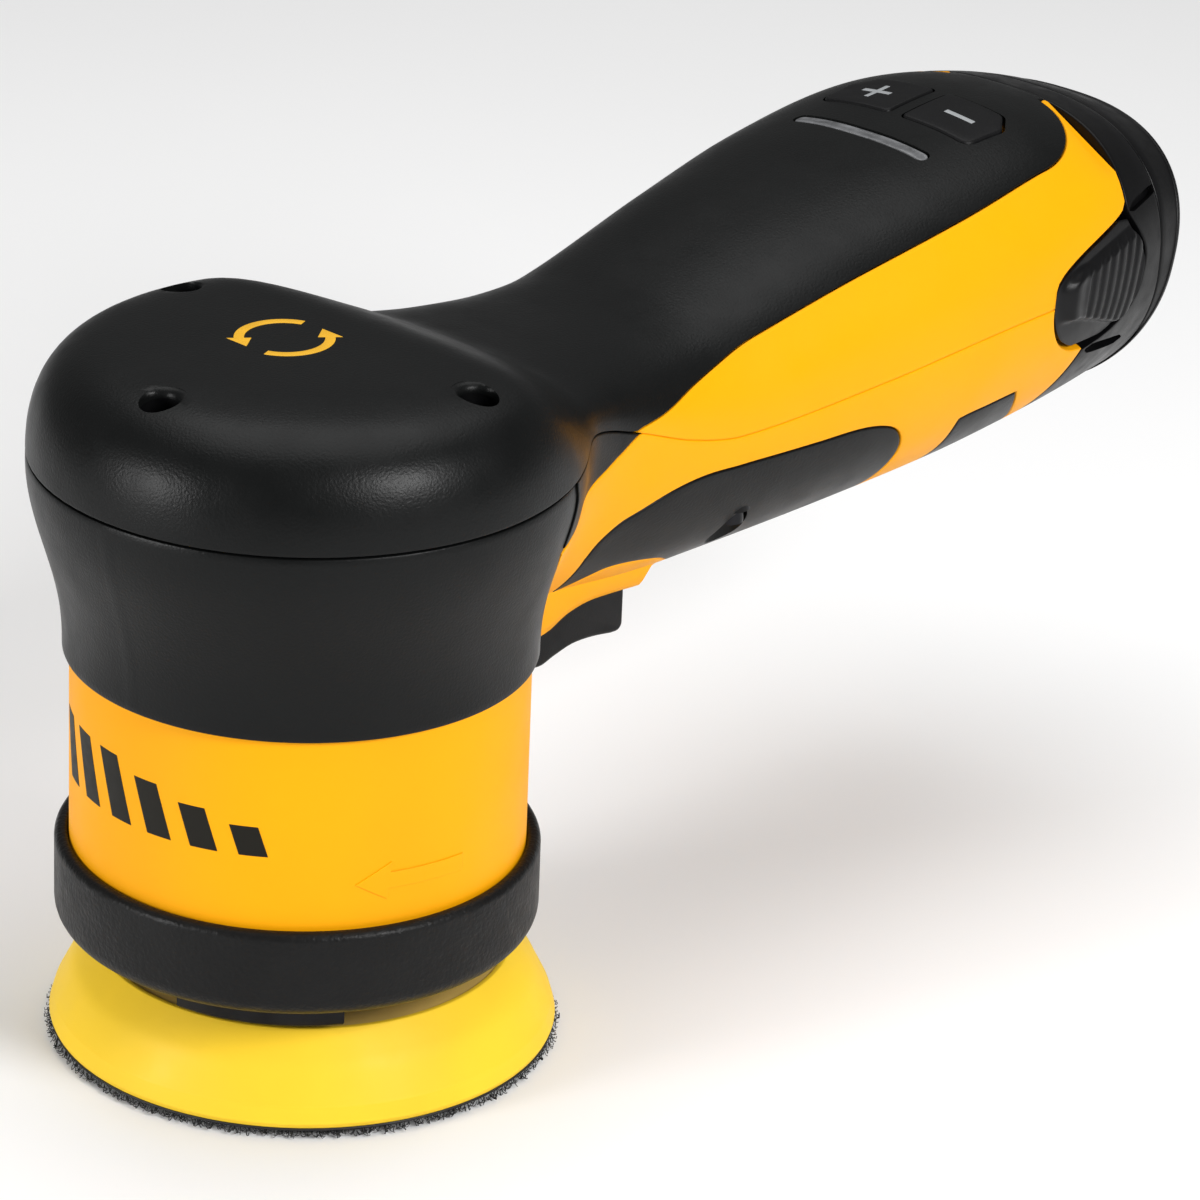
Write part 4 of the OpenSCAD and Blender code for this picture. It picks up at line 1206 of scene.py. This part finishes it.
def make_dome_icon():
    """Plain turning arrows on the dome, printed in yellow."""
    centre, r, w = (-1.5, 3), 6.6, 0.75
    sweep, head_sweep, head_w = 118, 148, 2.4 * w

    def surface(x, y, d):
        return (x, y, dome_height(math.hypot(x, y) / DOME_R, 0) + 0.04 - d)

    parts = []
    for start in (20, 200):
        arc = spread(start, start + sweep, 24)
        line = [polar(r + w, a) for a in arc]
        line += [polar(r + head_w, start + sweep), polar(r, start + head_sweep),
                 polar(r - head_w, start + sweep)]
        line += [polar(r - w, a) for a in arc[::-1]]
        line = [(centre[0] + x, centre[1] + y) for x, y in line]
        parts.append(patch(surface, line, 0.2, 0.02, 1, 1, (), 0.4))
    piece("dome_turn_mark", join(*parts), "housing", "yellow_plastic", look="gold_print")


# ---- battery ----
RING_UP = spread(0, 180, 90)
RING_DOWN = spread(178, 2, 88)


def ring_at(d, place):
    return [upper(place(a, True), a, d) for a in RING_UP] + [lower(place(a, False), a, d)
                                                             for a in RING_DOWN]


def cap_ring(f, d, offset=0):
    def place(a, up):
        s = cap_start(a, up)
        return mix(s, plane_place(CAP_X, a, up, d), f) + offset
    return ring_at(d, place)


def plane_ring(x, d):
    return ring_at(d, lambda a, up: plane_place(x, a, up, d))


def make_battery():
    lip = 0.35
    rings = [plane_ring(CAP_X - WALL, WALL), cap_ring(0, WALL)]
    rings += [cap_ring(0, rounding(x, lip), x) for x in (0, 0.04, 0.12, 0.24, 0.35)]
    rings += [cap_ring(f, 0) for f in spread(0.12, 0.9, 12)]
    rings += [plane_ring(CAP_X - x, rounding(x, 0.55)) for x in (0.6, 0.4, 0.2, 0.07, 0)]
    slots = (((158.6, 22.6), (168.4, 30)), ((152.8, -20.6), (167.5, -23.6)))
    piece("battery_case_moulding", tube(rings, (CAP_X - WALL, 0, AXIS_Z), (CAP_X, 0, AXIS_Z)), "battery",
          "black_plastic", "battery_housing",
          cutters=[relief_slot(a, b, side) for a, b in slots for side in (-1, 1)])

    end = BATTERY_END
    plate = [plane_ring(CAP_X + 0.06 + x, rounding(x, 0.5)) for x in (0, 0.08, 0.25, 0.5)]
    for f in (0.25, 0.5, 0.75):
        plate.append(ring_at(-0.1 * f, lambda a, up: mix(plane_place(CAP_X + 0.6, a, up, 0), end - 1.5, f)))
    # The proud rim, then the sunk face: distance from the end and depth below the skin
    for x, d in ((1.35, -0.12), (1.2, -0.28), (0.95, -0.32), (0.5, -0.3), (0.15, 0), (0.02, 0.5),
                 (0.1, 1.2), (0.5, 1.9), (0.55, 2.6), (0.25, 3.4), (0.05, 4.4)):
        plate.append(ring_at(d, lambda a, up: end - x))
    centre = Vector((end - 0.05, 0, AXIS_Z))
    last = [Vector(p) for p in plate[-1]]
    for k in (0.85, 0.68, 0.5, 0.32, 0.15):
        plate.append([tuple(centre + (p - centre) * k + Vector((0.5 * (1 - k * k), 0, 0))) for p in last])
    piece("battery_end_moulding", tube(plate, (CAP_X + 0.06, 0, AXIS_Z), (end + 0.45, 0, AXIS_Z)),
          "battery", "black_plastic", "battery_end_plate")


def relief_slot(a, b, side):
    """Cutter for a slanting slot beside a latch, between two (place, angle) points."""
    count = 8
    rings = []
    for k in range(count + 1):
        f = k / count
        s, angle = mix(a[0], b[0], f), mix(a[1], b[1], f)
        half = 1.25 * math.sqrt(max(0.05, 1 - (2 * f - 1) ** 6)) / LATCH_MM
        ring = []
        for da, d in ((-half, -1), (half, -1), (half * 0.8, 1.3), (-half * 0.8, 1.3)):
            x, y, z = around(s, angle + da, d)
            ring.append((x, y * -side, z))
        rings.append(ring)

    def middle(ring):
        return tuple(sum((Vector(p) for p in ring), Vector()) / 4)
    return tube(rings, middle(rings[0]), middle(rings[-1]))


def latch_height(s, a, near, far):
    """Depth of the latch skin, negative where it stands proud: a smooth nose, then upright ribs."""
    top = mix(9, LATCH_TOP, min(1, max(0, (s - 146) / 17)))
    low = 5.5 + 0.47 * max(0, s - 144.5)
    key = ease((s - near - 0.5) / 3.4) * ease((far - s) / 0.9) * ease((top - a) / 4.5)
    key *= ease((a + low + 1.5) / 2.6)
    nose = 0.35 * math.exp(-((s - near - 4.2) / 1.6) ** 2) * key
    rib = 0
    if s > near + 6:
        rib = 0.3 * ease((s - near - 6) / 2) * (0.5 - 0.5 * math.cos(2 * math.pi * s / RIB_PITCH)) ** 2
    return 0.4 - key * (1.1 - rib) - nose


def make_latches():
    for side, name in ((1, "left"), (-1, "right")):
        angles = [-LATCH_BOTTOM + x for x in (0, 0.15, 0.4)] + spread(0.9 - LATCH_BOTTOM, LATCH_TOP - 0.9,
                                                                      60)
        angles += [LATCH_TOP - x for x in (0.4, 0.15, 0)]
        outer, inner = [], []
        for f in [0, 0.006, 0.02, 0.04] + spread(0.06, 0.96, 120) + [0.98, 0.994, 1]:
            row, back = [], []
            for a in angles:
                up = a >= 0
                q = a + PRESS_ABOVE if up else PRESS_BELOW - a
                near = end_line(q, up) + LATCH_GAP
                far = cap_start(q, up) - LATCH_GAP
                s = mix(near, far, f)
                rim = min(s - near, (LATCH_TOP - a) * LATCH_MM, (a + LATCH_BOTTOM) * LATCH_MM, far - s)
                d = latch_height(s, a, near, far) + rounding(rim, 0.3)
                for out, depth in ((row, d), (back, 2.9)):
                    x, y, z = around(s, a, depth)
                    out.append((x, y * -side, z))
            outer.append(row)
            inner.append(back)
        body = name + "_latch"
        piece(body + "_key", skin(outer, inner), body, "black_plastic", body, look="latch")


# ---- everything ----
def dress_nodes():
    """Gives every carried CAD node the material of its slot."""
    for node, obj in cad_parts.items():
        for slot in obj.material_slots:
            name = slot.material.name.split(".")[0] if slot.material else ""
            slot.material = MAT.get(NODE_MATERIAL.get(node) or name) or MAT["black_plastic"]


def make_light_rig():
    """Two soft boxes beside the camera, each at a bearing and height, and a wide one overhead."""
    boxes = [("box_left", 160, 13, 0.28, 5.6), ("box_right", -93, 32, 0.32, 8.4),
             ("box_top", 30, 78, 1.0, 7.4)]
    for name, bearing, height, size, watts in boxes:
        across, up = polar(1, height)
        place = (*polar(across, bearing), up + 0.05)
        make_lamp(name, place, (0.03, 0, 0.07), (size, size), watts)


make_camera()
make_stage()
make_pad()
make_hooks()
make_counterweight()
make_head()
make_band_marks()
make_upper_grip()
make_upper_shell()
make_lower()
make_trigger()
make_keys()
make_light()
make_dome_icon()
make_battery()
make_latches()
dress_nodes()
make_light_rig()
